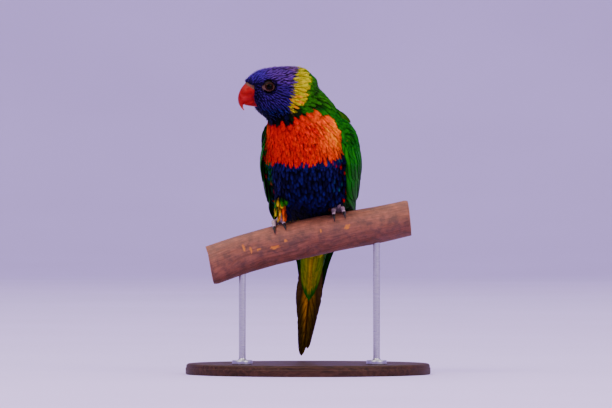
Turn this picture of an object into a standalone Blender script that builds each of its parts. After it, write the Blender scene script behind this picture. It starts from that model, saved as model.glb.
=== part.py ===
"""Rainbow lorikeet, life size, on a short cut length of branch held by a plain display stand.

Blender 4.5, metres, +Z up. The chest faces -Y and the bird's left side is towards +X. The origin is
the middle of the stand's underside. Tables and sizes are in millimetres and degrees, and MM turns
them into metres where a mesh is made.
"""

import math

import bmesh
import bpy
import numpy as np
from mathutils import Vector

MM = 0.001
GAP = 0.3
UP = np.array((0.0, 0.0, 1.0))

# Stand: an oval board, and two turned steel rods with a round foot each
BASE_LENGTH = 180.0
BASE_DEPTH = 142.0
BASE_THICK = 8.0
BASE_EDGE = 2.0
ROD_RADIUS = 2.5
ROD_FOOT_RADIUS = 7.5
ROD_FOOT_THICK = 3.0
ROD_PLACES = (-48.0, 50.0)

# Branch: its middle line runs along X and climbs to the right
PERCH_Y = -24.0
PERCH_LEFT, PERCH_RIGHT = -71.0, 74.0
PERCH_X = (-71.0, -42.0, -11.5, 17.6, 52.6, 74.0)
PERCH_Z = (79.6, 90.0, 97.8, 103.9, 110.2, 114.8)
PERCH_RADIUS = (14.4, 14.1, 14.1, 13.8, 13.3, 13.0)
PERCH_SIDES = 20
PERCH_STEPS = 19
PERCH_RIDGES = 0.55
KNOT_X, KNOT_ANGLE, KNOT_HEIGHT = 58.0, 215.0, 2.6
FOOT_PLACES = {"left": 24.7, "right": -18.1}

# Trunk, from inside the head down to the root of the tail. Each row is one section: its middle's X,
# the reach forward and the height of its front point, the same of its back point, half its width,
# and how far it is turned to the bird's right.
TRUNK = (
    (-10.0, 10.0, 206.5, -16.0, 213.5, 14.5, 40.0),
    (-9.0, 14.0, 200.0, -19.0, 207.5, 19.2, 35.0),
    (-7.5, 18.0, 194.5, -21.0, 201.5, 23.0, 28.0),
    (-5.0, 23.0, 188.0, -23.0, 195.0, 26.2, 22.0),
    (-2.2, 28.0, 181.0, -26.0, 188.5, 28.8, 18.0),
    (0.3, 32.5, 172.0, -29.0, 180.5, 30.6, 16.0),
    (1.6, 34.8, 161.0, -32.0, 170.5, 31.6, 15.0),
    (2.2, 34.5, 148.5, -35.0, 158.0, 31.6, 15.0),
    (2.8, 30.5, 136.0, -39.0, 145.0, 30.2, 13.0),
    (3.2, 21.5, 125.8, -43.5, 132.5, 27.4, 10.0),
    (3.2, 5.0, 119.2, -48.0, 119.5, 23.4, 7.0),
    (3.4, -14.0, 112.0, -52.5, 107.5, 19.0, 5.0),
    (4.0, -27.0, 101.8, -56.5, 96.5, 15.0, 4.0),
    (4.5, -36.5, 92.8, -60.0, 87.5, 12.0, 3.0),
)
TRUNK_SIDES = 24
TRUNK_RINGS = 21

# The folded wings lie on this form, which follows the trunk's sides and leaves it at the rump
WING_FORM = TRUNK[:9] + (
    (3.2, 21.5, 125.8, -43.5, 132.5, 28.6, 10.0),
    (3.3, 0.0, 118.2, -49.5, 120.5, 27.4, 7.0),
    (3.4, -15.0, 112.0, -55.0, 107.5, 23.6, 5.0),
    (3.6, -27.0, 101.0, -59.5, 96.0, 18.8, 4.0),
    (3.6, -37.0, 90.5, -63.5, 85.5, 14.2, 3.0),
    (3.0, -45.0, 80.0, -68.0, 75.0, 10.6, 3.0),
    (2.3, -52.0, 70.0, -72.5, 65.0, 8.4, 3.0),
    (1.7, -58.5, 60.5, -77.0, 55.5, 6.9, 3.0),
    (1.1, -64.0, 51.5, -81.0, 46.5, 5.8, 3.0),
)
# Where the wing starts at the breast and ends at the back, as angles from the side towards the back,
# at distances along the form
WING_EDGE_AT = (24.0, 34.0, 58.0, 85.0, 99.0, 113.0, 129.0, 139.0, 153.0, 180.0)
WING_FRONT = (0.0, -22.0, -26.0, -20.0, -8.0, 8.0, 22.0, 30.0, 32.0, 30.0)
WING_BACK = (42.0, 52.0, 66.0, 78.0, 81.0, 82.0, 81.0, 80.0, 79.0, 78.0)
WING_BED = (24.0, 122.0)
WING_BED_LOW = 1.3
VANE_THICK = 0.5
VANE_DROP = 0.85

# Head, in its own frame: reach towards the bill, and height, of the top and of the bottom of each
# section, and half its width
HEAD_MIDDLE = np.array((-17.0, -28.0, 207.0))
HEAD_TURN = 10.0
HEAD = (
    (27.2, 9.4, 19.5, -12.0, 7.4),
    (24.2, 13.2, 18.6, -15.0, 10.6),
    (18.2, 16.4, 15.7, -18.5, 13.2),
    (9.8, 18.1, 10.2, -22.0, 15.3),
    (1.0, 18.8, 3.0, -23.5, 16.3),
    (-7.1, 18.8, -5.1, -22.5, 16.4),
    (-13.2, 18.0, -12.2, -19.0, 15.4),
    (-17.9, 15.3, -18.2, -13.0, 12.8),
    (-21.0, 9.5, -21.6, -4.0, 7.5),
)
HEAD_SIDES = 20
HEAD_RINGS = 10
CHEEK = 0.10

UPPER_BILL = (
    (20.0, 8.9, 17.0, -3.6, 6.2),
    (26.3, 7.7, 23.0, -5.0, 6.0),
    (30.2, 4.9, 27.4, -6.2, 5.2),
    (33.0, 0.6, 29.9, -7.0, 4.2),
    (34.4, -3.6, 31.0, -7.9, 3.2),
    (34.2, -7.6, 31.4, -9.4, 2.1),
    (33.0, -10.6, 31.3, -11.0, 1.2),
    (31.2, -12.9, 30.8, -12.5, 0.4),
)
LOWER_BILL = (
    (17.0, -2.5, 17.5, -12.2, 5.4),
    (23.0, -3.6, 23.0, -12.0, 5.0),
    (27.2, -5.0, 27.0, -11.2, 4.0),
    (29.2, -6.4, 29.0, -9.9, 2.6),
    (30.0, -7.4, 30.0, -8.8, 1.2),
)
BILL_MESH, LOWER_BILL_MESH = (11, 14), (6, 12)
CERE_FROM, CERE_TO = (29.2, 6.2), (21.0, -0.6)
NOSTRIL = (26.0, 5.2)
NOSTRIL_RADIUS = 0.75

EYE_PLACE = (13.6, 4.0)
EYE_RADIUS = 4.8
EYE_TOP = 13.7
LID_RING, LID_THICK = 4.25, 0.5
EYE_DISH = 6.0
LID_SIDES = 14

# The head ends on a slanted plane behind the nape and under the throat, and the neck on a second one
NECK_TOP = ((-31.0, 183.0), (12.0, 203.5))
NECK_FOOT = ((-33.0, 172.0), (30.0, 187.0))

THIGH_PATH = ((15.0, 8.0, 139.0), (18.8, 9.5, 130.0), (21.0, 7.0, 122.0))
THIGH_RADII = (8.5, 7.8, 5.2)
TOE_RADIUS = 1.75
CLAW_RADIUS = 1.15

# Tail: from the middle of the trunk's end to the tip of the longest feather
TAIL_ROOT = np.array((3.6, PERCH_Y + 48.5, 89.5))
TAIL_TIP = np.array((-3.5, PERCH_Y + 92.0, 11.1))
TAIL_LENGTHS = (1.0, 0.92, 0.83, 0.73, 0.63, 0.53)
TAIL_HALF_WIDTH = 5.0
TAIL_FAN = 1.05
TAIL_LAYER = 0.85

COLOURS = {
    "blue": ((0.045, 0.030, 0.300), 0.55, 0.0),
    "green": ((0.015, 0.150, 0.015), 0.55, 0.0),
    "red": ((0.650, 0.060, 0.008), 0.55, 0.0),
    "navy": ((0.012, 0.010, 0.080), 0.60, 0.0),
    "olive": ((0.110, 0.090, 0.010), 0.60, 0.0),
    "bill": ((0.550, 0.012, 0.006), 0.30, 0.0),
    "cere": ((0.160, 0.060, 0.040), 0.50, 0.0),
    "eye": ((0.012, 0.008, 0.006), 0.08, 0.0),
    "foot": ((0.150, 0.130, 0.130), 0.60, 0.0),
    "claw": ((0.012, 0.010, 0.012), 0.35, 0.0),
    "bark": ((0.150, 0.045, 0.028), 0.70, 0.0),
    "board": ((0.030, 0.018, 0.012), 0.40, 0.0),
    "steel": ((0.550, 0.550, 0.560), 0.25, 1.0),
}


# Scene, materials and small mesh helpers


def clear_scene():
    for thing in list(bpy.data.objects):
        bpy.data.objects.remove(thing)


def new_collection(name):
    made = bpy.data.collections.new(name)
    bpy.context.scene.collection.children.link(made)
    return made


def make_material(name):
    colour, roughness, metallic = COLOURS[name]
    made = bpy.data.materials.new(name)
    made.use_nodes = True
    shader = made.node_tree.nodes["Principled BSDF"]
    shader.inputs["Base Color"].default_value = (*colour, 1.0)
    shader.inputs["Roughness"].default_value = roughness
    shader.inputs["Metallic"].default_value = metallic
    return made


clear_scene()
PARTS = new_collection("rainbow_lorikeet")
TOOLS = new_collection("cutters")
MATERIALS = {name: make_material(name) for name in COLOURS}


def mesh_object(name, points, faces):
    """An object in the parts collection from points in millimetres."""
    mesh = bpy.data.meshes.new(name)
    mesh.from_pydata([tuple(float(x) * MM for x in p) for p in points], [], faces)
    mesh.update()
    made = bpy.data.objects.new(name, mesh)
    PARTS.objects.link(made)
    return made


def finish(made, colour, smooth_angle=40.0):
    """Gives a finished node its material and its shading."""
    made.data.materials.clear()
    made.data.materials.append(MATERIALS[colour])
    made.data.shade_smooth()
    made.data.set_sharp_from_angle(angle=math.radians(smooth_angle))
    return made


def bake_modifiers(made):
    """Replaces an object's mesh by what its modifiers make of it."""
    graph = bpy.context.evaluated_depsgraph_get()
    mesh = bpy.data.meshes.new_from_object(made.evaluated_get(graph))
    made.modifiers.clear()
    old = made.data
    made.data = mesh
    bpy.data.meshes.remove(old)
    return made


def boolean(made, cutter, operation, keep_cutter=False, solver="EXACT"):
    """Cuts, joins or intersects with one closed mesh object."""
    step = made.modifiers.new("cut", "BOOLEAN")
    step.operation = operation
    step.solver = solver
    step.object = cutter
    bake_modifiers(made)
    if not keep_cutter:
        bpy.data.objects.remove(cutter)
    return made


def join_pieces(made, pieces, solver="MANIFOLD"):
    """Fuses a list of closed mesh objects into one, in one union over a collection."""
    group = bpy.data.collections.new(made.name + "_pieces")
    bpy.context.scene.collection.children.link(group)
    for piece in pieces:
        for owner in piece.users_collection:
            owner.objects.unlink(piece)
        group.objects.link(piece)
    step = made.modifiers.new("join", "BOOLEAN")
    step.operation = "UNION"
    step.operand_type = "COLLECTION"
    step.solver = solver
    step.collection = group
    bake_modifiers(made)
    for piece in list(group.objects):
        bpy.data.objects.remove(piece)
    bpy.data.collections.remove(group)
    return made


def keep_largest(made):
    """Keeps only the closed surface with the largest volume."""
    shape = bmesh.new()
    shape.from_mesh(made.data)
    left = set(shape.faces)
    shells = []
    while left:
        shell = []
        front = [left.pop()]
        while front:
            face = front.pop()
            shell.append(face)
            for edge in face.edges:
                for other in edge.link_faces:
                    if other in left:
                        left.remove(other)
                        front.append(other)
        shells.append(shell)

    def volume(shell):
        total = 0.0
        for face in shell:
            corners = [v.co for v in face.verts]
            for second, third in zip(corners[1:], corners[2:]):
                total += corners[0].dot(second.cross(third))
        return total

    shells.sort(key=volume)
    loose = [face for shell in shells[:-1] for face in shell]
    bmesh.ops.delete(shape, geom=loose, context="FACES")
    shape.to_mesh(made.data)
    shape.free()
    return made


def spline_at(where, knots, rows):
    """A smooth curve through the rows of a table, read at one place or at several."""
    knots = np.asarray(knots, float)
    rows = np.asarray(rows, float)
    slopes = np.gradient(rows, knots, axis=0)
    where = np.asarray(where, float)
    i = np.clip(np.searchsorted(knots, where) - 1, 0, len(knots) - 2)
    width = knots[i + 1] - knots[i]
    u = np.clip((where - knots[i]) / width, 0.0, 1.0)
    if rows.ndim > 1:
        u, width = u[..., None], width[..., None]
    rise = (rows[i + 1] - rows[i]) * (3 * u**2 - 2 * u**3)
    start = slopes[i] * width * (u**3 - 2 * u**2 + u)
    end = slopes[i + 1] * width * (u**3 - u**2)
    return rows[i] + rise + start + end


def loft(name, rings):
    """A closed mesh through rings of equally many points, each end closed by a fan."""
    count, sides = len(rings), len(rings[0])
    points = [p for ring in rings for p in ring]
    points += [np.mean(rings[0], axis=0), np.mean(rings[-1], axis=0)]
    first, last = count * sides, count * sides + 1
    faces = []
    for i in range(count - 1):
        for k in range(sides):
            a, b = i * sides + k, i * sides + (k + 1) % sides
            faces.append((a, b, b + sides, a + sides))
    for k in range(sides):
        after = (k + 1) % sides
        faces.append((first, after, k))
        faces.append((last, (count - 1) * sides + k, (count - 1) * sides + after))
    made = mesh_object(name, points, faces)
    shape = bmesh.new()
    shape.from_mesh(made.data)
    bmesh.ops.recalc_face_normals(shape, faces=shape.faces)
    shape.to_mesh(made.data)
    shape.free()
    return made


def tube(name, points, radii, resolution=2):
    """A round bar along a few points, swelling and thinning with its radii, as a closed mesh."""
    line = bpy.data.curves.new(name, "CURVE")
    line.dimensions = "3D"
    line.bevel_depth = MM
    line.bevel_resolution = resolution
    line.use_fill_caps = True
    spline = line.splines.new("POLY")
    spline.points.add(len(points) - 1)
    for knot, place, radius in zip(spline.points, points, radii):
        knot.co = (*(float(x) * MM for x in place), 1.0)
        knot.radius = float(radius)
    made = bpy.data.objects.new(name, line)
    PARTS.objects.link(made)
    graph = bpy.context.evaluated_depsgraph_get()
    graph.update()
    mesh = bpy.data.meshes.new_from_object(made.evaluated_get(graph))
    bpy.data.objects.remove(made)
    shape = bmesh.new()
    shape.from_mesh(mesh)
    bmesh.ops.remove_doubles(shape, verts=shape.verts, dist=1e-7)
    bmesh.ops.recalc_face_normals(shape, faces=shape.faces)
    shape.to_mesh(mesh)
    shape.free()
    solid = bpy.data.objects.new(name, mesh)
    PARTS.objects.link(solid)
    return solid


def ball(name, place, radius, segments=16, rings=10):
    shape = bmesh.new()
    bmesh.ops.create_uvsphere(shape, u_segments=segments, v_segments=rings, radius=radius * MM)
    bmesh.ops.translate(shape, verts=shape.verts, vec=Vector(place) * MM)
    mesh = bpy.data.meshes.new(name)
    shape.to_mesh(mesh)
    shape.free()
    made = bpy.data.objects.new(name, mesh)
    PARTS.objects.link(made)
    return made


def cone(name, start, end, start_radius, end_radius, segments=20):
    """A closed cone or cylinder between two points."""
    start, end = Vector(start) * MM, Vector(end) * MM
    axis = end - start
    shape = bmesh.new()
    bmesh.ops.create_cone(
        shape,
        cap_ends=True,
        segments=segments,
        radius1=start_radius * MM,
        radius2=end_radius * MM,
        depth=axis.length,
    )
    turn = axis.to_track_quat("Z", "Y").to_matrix()
    bmesh.ops.rotate(shape, verts=shape.verts, matrix=turn)
    bmesh.ops.translate(shape, verts=shape.verts, vec=(start + end) / 2)
    mesh = bpy.data.meshes.new(name)
    shape.to_mesh(mesh)
    shape.free()
    made = bpy.data.objects.new(name, mesh)
    PARTS.objects.link(made)
    return made


def unit(vector):
    vector = np.asarray(vector, float)
    return vector / np.linalg.norm(vector)


# The trunk's form, and the form that the wings lie on


class Form:
    """A body of oval sections, read at any distance along its middle line and any angle round it.

    The angle runs from the side, 0, to the back, 90, and on the other way to the breast, -90.
    """

    def __init__(self, table):
        self.rows = np.array(table, float)
        middles = np.stack(
            [
                self.rows[:, 0],
                -(self.rows[:, 1] + self.rows[:, 3]) / 2,
                (self.rows[:, 2] + self.rows[:, 4]) / 2,
            ],
            axis=1,
        )
        steps = np.linalg.norm(np.diff(middles[:, 1:], axis=0), axis=1)
        self.knots = np.concatenate([[0.0], np.cumsum(steps)])

    def section(self, along):
        """Middle, half the width as a vector to the bird's left, half the depth as one to the front."""
        x, front, front_z, back, back_z, half, turned = spline_at(along, self.knots, self.rows)
        turn = math.radians(turned)
        left = np.array((math.cos(turn), -math.sin(turn), 0.0))
        forward = np.array((-math.sin(turn), -math.cos(turn), 0.0))
        middle = np.array((x, PERCH_Y - (front + back) / 2, (front_z + back_z) / 2))
        depth = forward * (front - back) / 2 + UP * (front_z - back_z) / 2
        return middle, left * half, depth

    def point(self, along, angle, height=0.0, side=1.0):
        middle, across, depth = self.section(along)
        turn = math.radians(angle)
        half, deep = np.linalg.norm(across), np.linalg.norm(depth)
        place = middle + side * across * math.cos(turn) - depth * math.sin(turn)
        outward = side * across / half**2 * math.cos(turn) - depth / deep**2 * math.sin(turn)
        return place + unit(outward) * height

    def ring(self, along, sides, grow=0.0):
        angles = [360.0 * k / sides for k in range(sides)]
        return [self.point(along, angle, grow) for angle in angles]


TRUNK_FORM = Form(TRUNK)
WINGS = Form(WING_FORM)


def head_point(reach, aside, height):
    """A point in the head's frame: towards the bill, to the head's left, and up."""
    turn = math.radians(HEAD_TURN)
    forward = np.array((-math.cos(turn), -math.sin(turn), 0.0))
    left = np.array((math.sin(turn), -math.cos(turn), 0.0))
    return HEAD_MIDDLE + forward * reach + left * aside + UP * height


def profile_loft(name, table, rings, sides, grow=0.0, cheek=0.0):
    """A loft through oval sections of the head's frame. Cheek widens each below its middle."""
    table = np.array(table, float)
    for end, beside in ((0, 1), (-1, -2)):
        ahead = unit(table[end, :4] - table[beside, :4])
        table[end, :4] += ahead * grow
    middles = (table[:, 0:2] + table[:, 2:4]) / 2
    knots = np.concatenate([[0.0], np.cumsum(np.linalg.norm(np.diff(middles, axis=0), axis=1))])
    made = []
    for along in np.linspace(knots[0], knots[-1], rings):
        top_h, top_v, low_h, low_v, half = spline_at(along, knots, table)
        middle = np.array(((top_h + low_h) / 2, (top_v + low_v) / 2))
        rise = np.array(((top_h - low_h) / 2, (top_v - low_v) / 2))
        length = np.linalg.norm(rise)
        rise = rise * (length + grow) / length
        ring = []
        for k in range(sides):
            turn = 2 * math.pi * k / sides
            wide = (half + grow) * math.cos(turn) * (1 - cheek * math.sin(turn))
            spot = middle + rise * math.sin(turn)
            ring.append(head_point(spot[0], wide, spot[1]))
        made.append(ring)
    return loft(name, made)


def slab(name, from_xz, to_xz, thick, above):
    """A slab that is slanted in the XZ plane and deep in Y: above the line or below it."""
    start, end = Vector((from_xz[0], 0, from_xz[1])), Vector((to_xz[0], 0, to_xz[1]))
    along = (end - start).normalized()
    lift = Vector((-along.z, 0, along.x)) * (1 if above else -1)
    reach, deep = 120.0, 120.0
    points = []
    for depth in (-deep, deep):
        for stretch in (-reach, reach):
            for rise in (0.0, thick):
                points.append(start + along * stretch + lift * rise + Vector((0, depth, 0)))
    faces = [(0, 1, 3, 2), (4, 6, 7, 5), (0, 4, 5, 1), (2, 3, 7, 6), (0, 2, 6, 4), (1, 5, 7, 3)]
    made = mesh_object(name, points, faces)
    shape = bmesh.new()
    shape.from_mesh(made.data)
    bmesh.ops.recalc_face_normals(shape, faces=shape.faces)
    shape.to_mesh(made.data)
    shape.free()
    return made


def copy_of(made, name):
    twin = bpy.data.objects.new(name, made.data.copy())
    PARTS.objects.link(twin)
    return twin


def shifted(line, amount):
    """The same slanted line, moved up by a distance square to itself."""
    (x0, z0), (x1, z1) = line
    length = math.hypot(x1 - x0, z1 - z0)
    dx, dz = -(z1 - z0) / length * amount, (x1 - x0) / length * amount
    return (x0 + dx, z0 + dz), (x1 + dx, z1 + dz)


# Branch and stand


def perch_section(x, angle, grow=0.0):
    """A point on the branch. The angle runs from the front, 0, over the top, 90, to the back."""
    height = float(spline_at(x, PERCH_X, PERCH_Z))
    slope = float(spline_at(x + 1, PERCH_X, PERCH_Z)) - float(spline_at(x - 1, PERCH_X, PERCH_Z))
    along = unit((2.0, 0.0, slope))
    lift = np.array((-along[2], 0.0, along[0]))
    turn = math.radians(angle)
    outward = lift * math.sin(turn) + np.array((0.0, -1.0, 0.0)) * math.cos(turn)
    radius = float(spline_at(x, PERCH_X, PERCH_RADIUS))
    middle = np.array((x, PERCH_Y, height))
    return middle, along, outward, radius + grow


def branch_radius(x, angle, radius):
    """The branch's true radius: low ridges along it away from the feet, and one old knot."""
    near_foot = min(abs(x - place) for place in FOOT_PLACES.values())
    calm = min(1.0, max(0.0, (near_foot - 8.0) / 12.0))
    turn = math.radians(angle)
    ridges = math.sin(3 * turn + 0.04 * x) + 0.6 * math.sin(5 * turn - 0.07 * x + 1.0)
    off = math.hypot((x - KNOT_X) / 6.0, ((angle - KNOT_ANGLE + 180) % 360 - 180) / 24.0)
    return radius + PERCH_RIDGES * calm * ridges * 0.6 + KNOT_HEIGHT * math.exp(-off * off)


def build_branch():
    rings = []
    for x in np.linspace(PERCH_LEFT, PERCH_RIGHT, PERCH_STEPS):
        ring = []
        for k in range(PERCH_SIDES):
            angle = 360.0 * k / PERCH_SIDES
            middle, _, outward, radius = perch_section(x, angle)
            ring.append(middle + outward * branch_radius(x, angle, radius))
        rings.append(ring)
    return loft("perch", rings)


def branch_cutter(grow):
    rings = []
    for x in np.linspace(PERCH_LEFT - 2, PERCH_RIGHT + 2, 31):
        ring = []
        for k in range(PERCH_SIDES):
            angle = 360.0 * k / PERCH_SIDES
            middle, _, outward, radius = perch_section(x, angle, grow)
            ring.append(middle + outward * branch_radius(x, angle, radius))
        rings.append(ring)
    return loft("branch_cutter", rings)


def build_base():
    shape = bmesh.new()
    bmesh.ops.create_cone(
        shape, cap_ends=True, segments=40, radius1=0.5, radius2=0.5, depth=BASE_THICK * MM
    )
    bmesh.ops.scale(shape, verts=shape.verts, vec=(BASE_LENGTH * MM, BASE_DEPTH * MM, 1.0))
    bmesh.ops.translate(shape, verts=shape.verts, vec=(0, 0, BASE_THICK * MM / 2))
    mesh = bpy.data.meshes.new("stand_base")
    shape.to_mesh(mesh)
    shape.free()
    made = bpy.data.objects.new("stand_base", mesh)
    PARTS.objects.link(made)
    edge = made.modifiers.new("edge", "BEVEL")
    edge.width = BASE_EDGE * MM
    edge.segments = 2
    edge.limit_method = "ANGLE"
    return finish(bake_modifiers(made), "board")


def build_rod(name, x, branch):
    """A turned rod with a round foot, trimmed to the underside of the branch."""
    low = BASE_THICK + GAP
    top = float(spline_at(x, PERCH_X, PERCH_Z))
    profile = (
        (0.0, top),
        (ROD_RADIUS, top),
        (ROD_RADIUS, low + ROD_FOOT_THICK + 1.5),
        (ROD_RADIUS + 1.5, low + ROD_FOOT_THICK),
        (ROD_FOOT_RADIUS - 0.6, low + ROD_FOOT_THICK),
        (ROD_FOOT_RADIUS, low + ROD_FOOT_THICK - 0.6),
        (ROD_FOOT_RADIUS, low),
        (0.0, low),
    )
    sides = 16
    rings = []
    for radius, height in profile[1:-1]:
        turns = [2 * math.pi * k / sides for k in range(sides)]
        rings.append(
            [(x + radius * math.cos(a), PERCH_Y + radius * math.sin(a), height) for a in turns]
        )
    made = loft(name, rings)
    boolean(made, branch, "DIFFERENCE", keep_cutter=True)
    return finish(keep_largest(made), "steel")


# Vanes: thin feathers whose two faces are split into triangles alike


def vane(name, point_at, steps, across=3):
    """A closed feather. point_at(s, q, face) gives the point a share s along it and q, -1 to 1,
    across it, on its upper face, 1, or its lower one, -1."""
    faces, points = [], []
    shares = np.linspace(-1.0, 1.0, across)
    for face in (1, -1):
        for s in steps:
            for q in shares:
                points.append(point_at(s, q, face))
    rows, lower = len(steps), len(steps) * across

    def at(row, column):
        return row * across + column

    for i in range(rows - 1):
        for k in range(across - 1):
            a, b, c, d = at(i, k), at(i, k + 1), at(i + 1, k + 1), at(i + 1, k)
            for corners in ((a, b, c), (a, c, d)):
                faces.append(corners)
                faces.append(tuple(lower + x for x in reversed(corners)))
    last = across - 1
    for i in range(rows - 1):
        for a, b in ((at(i + 1, 0), at(i, 0)), (at(i, last), at(i + 1, last))):
            faces.append((b, a, lower + a))
            faces.append((b, lower + a, lower + b))
    for k in range(last):
        for a, b in ((at(0, k), at(0, k + 1)), (at(rows - 1, k + 1), at(rows - 1, k))):
            faces.append((b, a, lower + a))
            faces.append((b, lower + a, lower + b))
    made = mesh_object(name, points, faces)
    shape = bmesh.new()
    shape.from_mesh(made.data)
    bmesh.ops.recalc_face_normals(shape, faces=shape.faces)
    shape.to_mesh(made.data)
    shape.free()
    return made


def feather_width(s, root=0.55, point=0.12, taper=0.62):
    """Share of a feather's full half width at a share s of its length."""
    if s < 0.2:
        return root + (1 - root) * s / 0.2
    if s < taper:
        return 1.0
    left = (s - taper) / (1 - taper)
    return max(point, math.sqrt(max(0.0, 1 - left**2)))


# Wings


def wing_point(side, along, share, height):
    """A point on a folded wing: a share 0 at the breast edge to 1 at the back edge."""
    front = float(spline_at(along, WING_EDGE_AT, WING_FRONT))
    back = float(spline_at(along, WING_EDGE_AT, WING_BACK))
    return WINGS.point(along, front + (back - front) * share, height, side)


def bed_height(along, share):
    """Thickness of the wing's own body, which the quills are rooted in."""
    start, end = WING_BED
    swell = float(spline_at(along, (24, 30, 42, 60, 80, 100, 122), (0.6, 2.4, 3.4, 2.5, 1.7, 1.2, 0.6)))
    edge = max(0.0, 1 - abs(2 * share - 1) ** 5)
    return 0.5 + swell * edge


def build_bed(name, side):
    steps = np.linspace(0, 1, 9)
    start, end = WING_BED

    def point_at(s, q, face):
        along = start + (end - start) * s
        share = 0.5 + 0.47 * q * min(1.0, 0.55 + 3.0 * s)
        lift = WING_BED_LOW if face < 0 else WING_BED_LOW + bed_height(along, share)
        return wing_point(side, along, share, lift)

    return vane(name, point_at, steps, across=7)


# Each tier of quills: where the roots lie, where the tips of the first and last feather lie, the
# height of the root, of the middle and of the tip above the wing's form
TIERS = (
    ("secondary", 72.0, (119.0, 131.0), (1.6, 3.2, 3.5)),
    ("greater_covert", 52.0, (80.0, 84.0), (2.8, 4.3, 4.3)),
    ("median_covert", 38.0, (60.0, 63.0), (3.4, 5.3, 5.2)),
)
QUILL_COUNT = 7
PRIMARY_TIPS = (177.0, 174.0, 166.0, 157.0, 147.0)
PRIMARY_ROOT = 110.0
PRIMARY_SPACE, PRIMARY_TILT = 1.9, 0.42
PRIMARY_STEPS = (0.0, 0.25, 0.5, 0.75, 0.91, 1.0)
QUILL_STEPS = (0.0, 0.35, 0.7, 0.9, 1.0)


def build_quill(name, side, index, root, tip, heights):
    """One feather of a tier. It lies under its neighbour towards the back, and drops by a layer
    over the distance to it."""
    middle = 0.03 + (index + 0.5) / QUILL_COUNT * 0.92

    def point_at(s, q, face):
        along = root + (tip - root) * s
        off = 1.04 * q * feather_width(s)
        share = middle + off / QUILL_COUNT * 0.92
        height = float(spline_at(s, (0.0, 0.4, 1.0), heights)) - VANE_DROP * off
        return wing_point(side, along, share, height + face * VANE_THICK / 2)

    return vane(name, point_at, QUILL_STEPS)


def build_primary(name, side, index):
    """One flight feather of the hand. They come out from under the others near the rump, the
    outermost lowest and longest."""
    tip = PRIMARY_TIPS[index]

    def point_at(s, q, face):
        along = PRIMARY_ROOT + (tip - PRIMARY_ROOT) * s
        half = 3.4 * feather_width(s, taper=0.7)
        middle = 4.8 - 1.2 * s + PRIMARY_SPACE * index
        front = float(spline_at(along, WING_EDGE_AT, WING_FRONT))
        _, across, depth = WINGS.section(along)
        round_mm = max(14.0, (np.linalg.norm(across) + np.linalg.norm(depth)) / 2)
        angle = front + math.degrees((middle + half * q) / round_mm)
        height = 1.2 + 0.7 * s**2 - PRIMARY_TILT * half * q
        return WINGS.point(along, angle, height + face * VANE_THICK / 2, side)

    return vane(name, point_at, PRIMARY_STEPS)


def build_wing(name, side):
    quills = [build_primary(f"primary_{i}", side, i) for i in range(len(PRIMARY_TIPS))]
    for tier, root, tips, heights in TIERS:
        for i in range(QUILL_COUNT):
            tip = tips[0] + (tips[1] - tips[0]) * i / (QUILL_COUNT - 1)
            quills.append(build_quill(f"{tier}_{i}", side, i, root, tip, heights))
    made = build_bed(name, side)
    join_pieces(made, quills)
    return finish(keep_largest(made), "green")


# Tail


def tail_frame():
    """The tail's axis, its own left and the way its back faces."""
    axis = unit(TAIL_TIP - TAIL_ROOT)
    left = unit(np.array((1.0, -0.05, 0.0)) - axis * np.dot((1.0, -0.05, 0.0), axis))
    back = unit(np.cross(left, axis))
    if back[1] < 0:
        back = -back
    return axis, left, back


TAIL_AXIS, TAIL_LEFT, TAIL_BACK = tail_frame()
TAIL_LENGTH = float(np.linalg.norm(TAIL_TIP - TAIL_ROOT))


def tail_point(along, aside, height):
    """A point of the tail. It is arched, so that its sides hang lower than its middle."""
    arched = height - 0.022 * aside**2
    return TAIL_ROOT + TAIL_AXIS * along + TAIL_LEFT * aside + TAIL_BACK * arched


def build_tail_bed():
    """What the tail feathers and their coverts are rooted in, from the trunk's end on."""
    last = TRUNK_FORM.knots[-1]
    middle, across, depth = TRUNK_FORM.section(last)
    rings = []
    for along, half, deep in (
        (0.0, 11.6, 11.3),
        (6.0, 10.8, 9.6),
        (12.0, 9.8, 7.6),
        (18.0, 8.6, 5.6),
        (24.0, 7.0, 3.8),
        (30.0, 4.6, 2.0),
    ):
        blend = min(1.0, along / 12.0)
        ring = []
        for k in range(20):
            turn = 2 * math.pi * k / 20
            place = TAIL_ROOT + TAIL_AXIS * along
            straight = place + TAIL_LEFT * half * math.cos(turn) + TAIL_BACK * deep * math.sin(turn)
            facing = middle + unit(across) * half * math.cos(turn) - unit(depth) * deep * math.sin(turn)
            facing = facing + unit(np.cross(across, depth)) * (GAP + along)
            ring.append(facing * (1 - blend) + straight * blend)
        rings.append(ring)
    return loft("tail", rings)


def build_rectrix(name, pair, side):
    """One tail feather. The middle pair cross the midline, the others stay on their side of it."""
    length = TAIL_LENGTH * TAIL_LENGTHS[pair]
    if pair == 0 and side > 0:
        length *= 0.915
    height = 1.9 - TAIL_LAYER * (pair + (1 if pair or side > 0 else 0))

    def point_at(s, q, face):
        along = 5.0 + (length - 5.0) * s
        spread = TAIL_HALF_WIDTH * feather_width(s, root=0.6, point=0.07, taper=0.5)
        if pair == 0:
            middle = side * (1.2 + 0.4 * s)
            aside = middle + spread * q
        else:
            shaft = 1.5 + TAIL_FAN * pair * (0.55 + 0.45 * s)
            inner = max(0.35, shaft - spread)
            outer = shaft + spread * 0.8
            aside = side * (inner + (outer - inner) * (q * side + 1) / 2)
        return tail_point(along, aside, height + face * VANE_THICK / 2)

    return vane(name, point_at, (0.0, 0.25, 0.5, 0.72, 0.9, 1.0))


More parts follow.
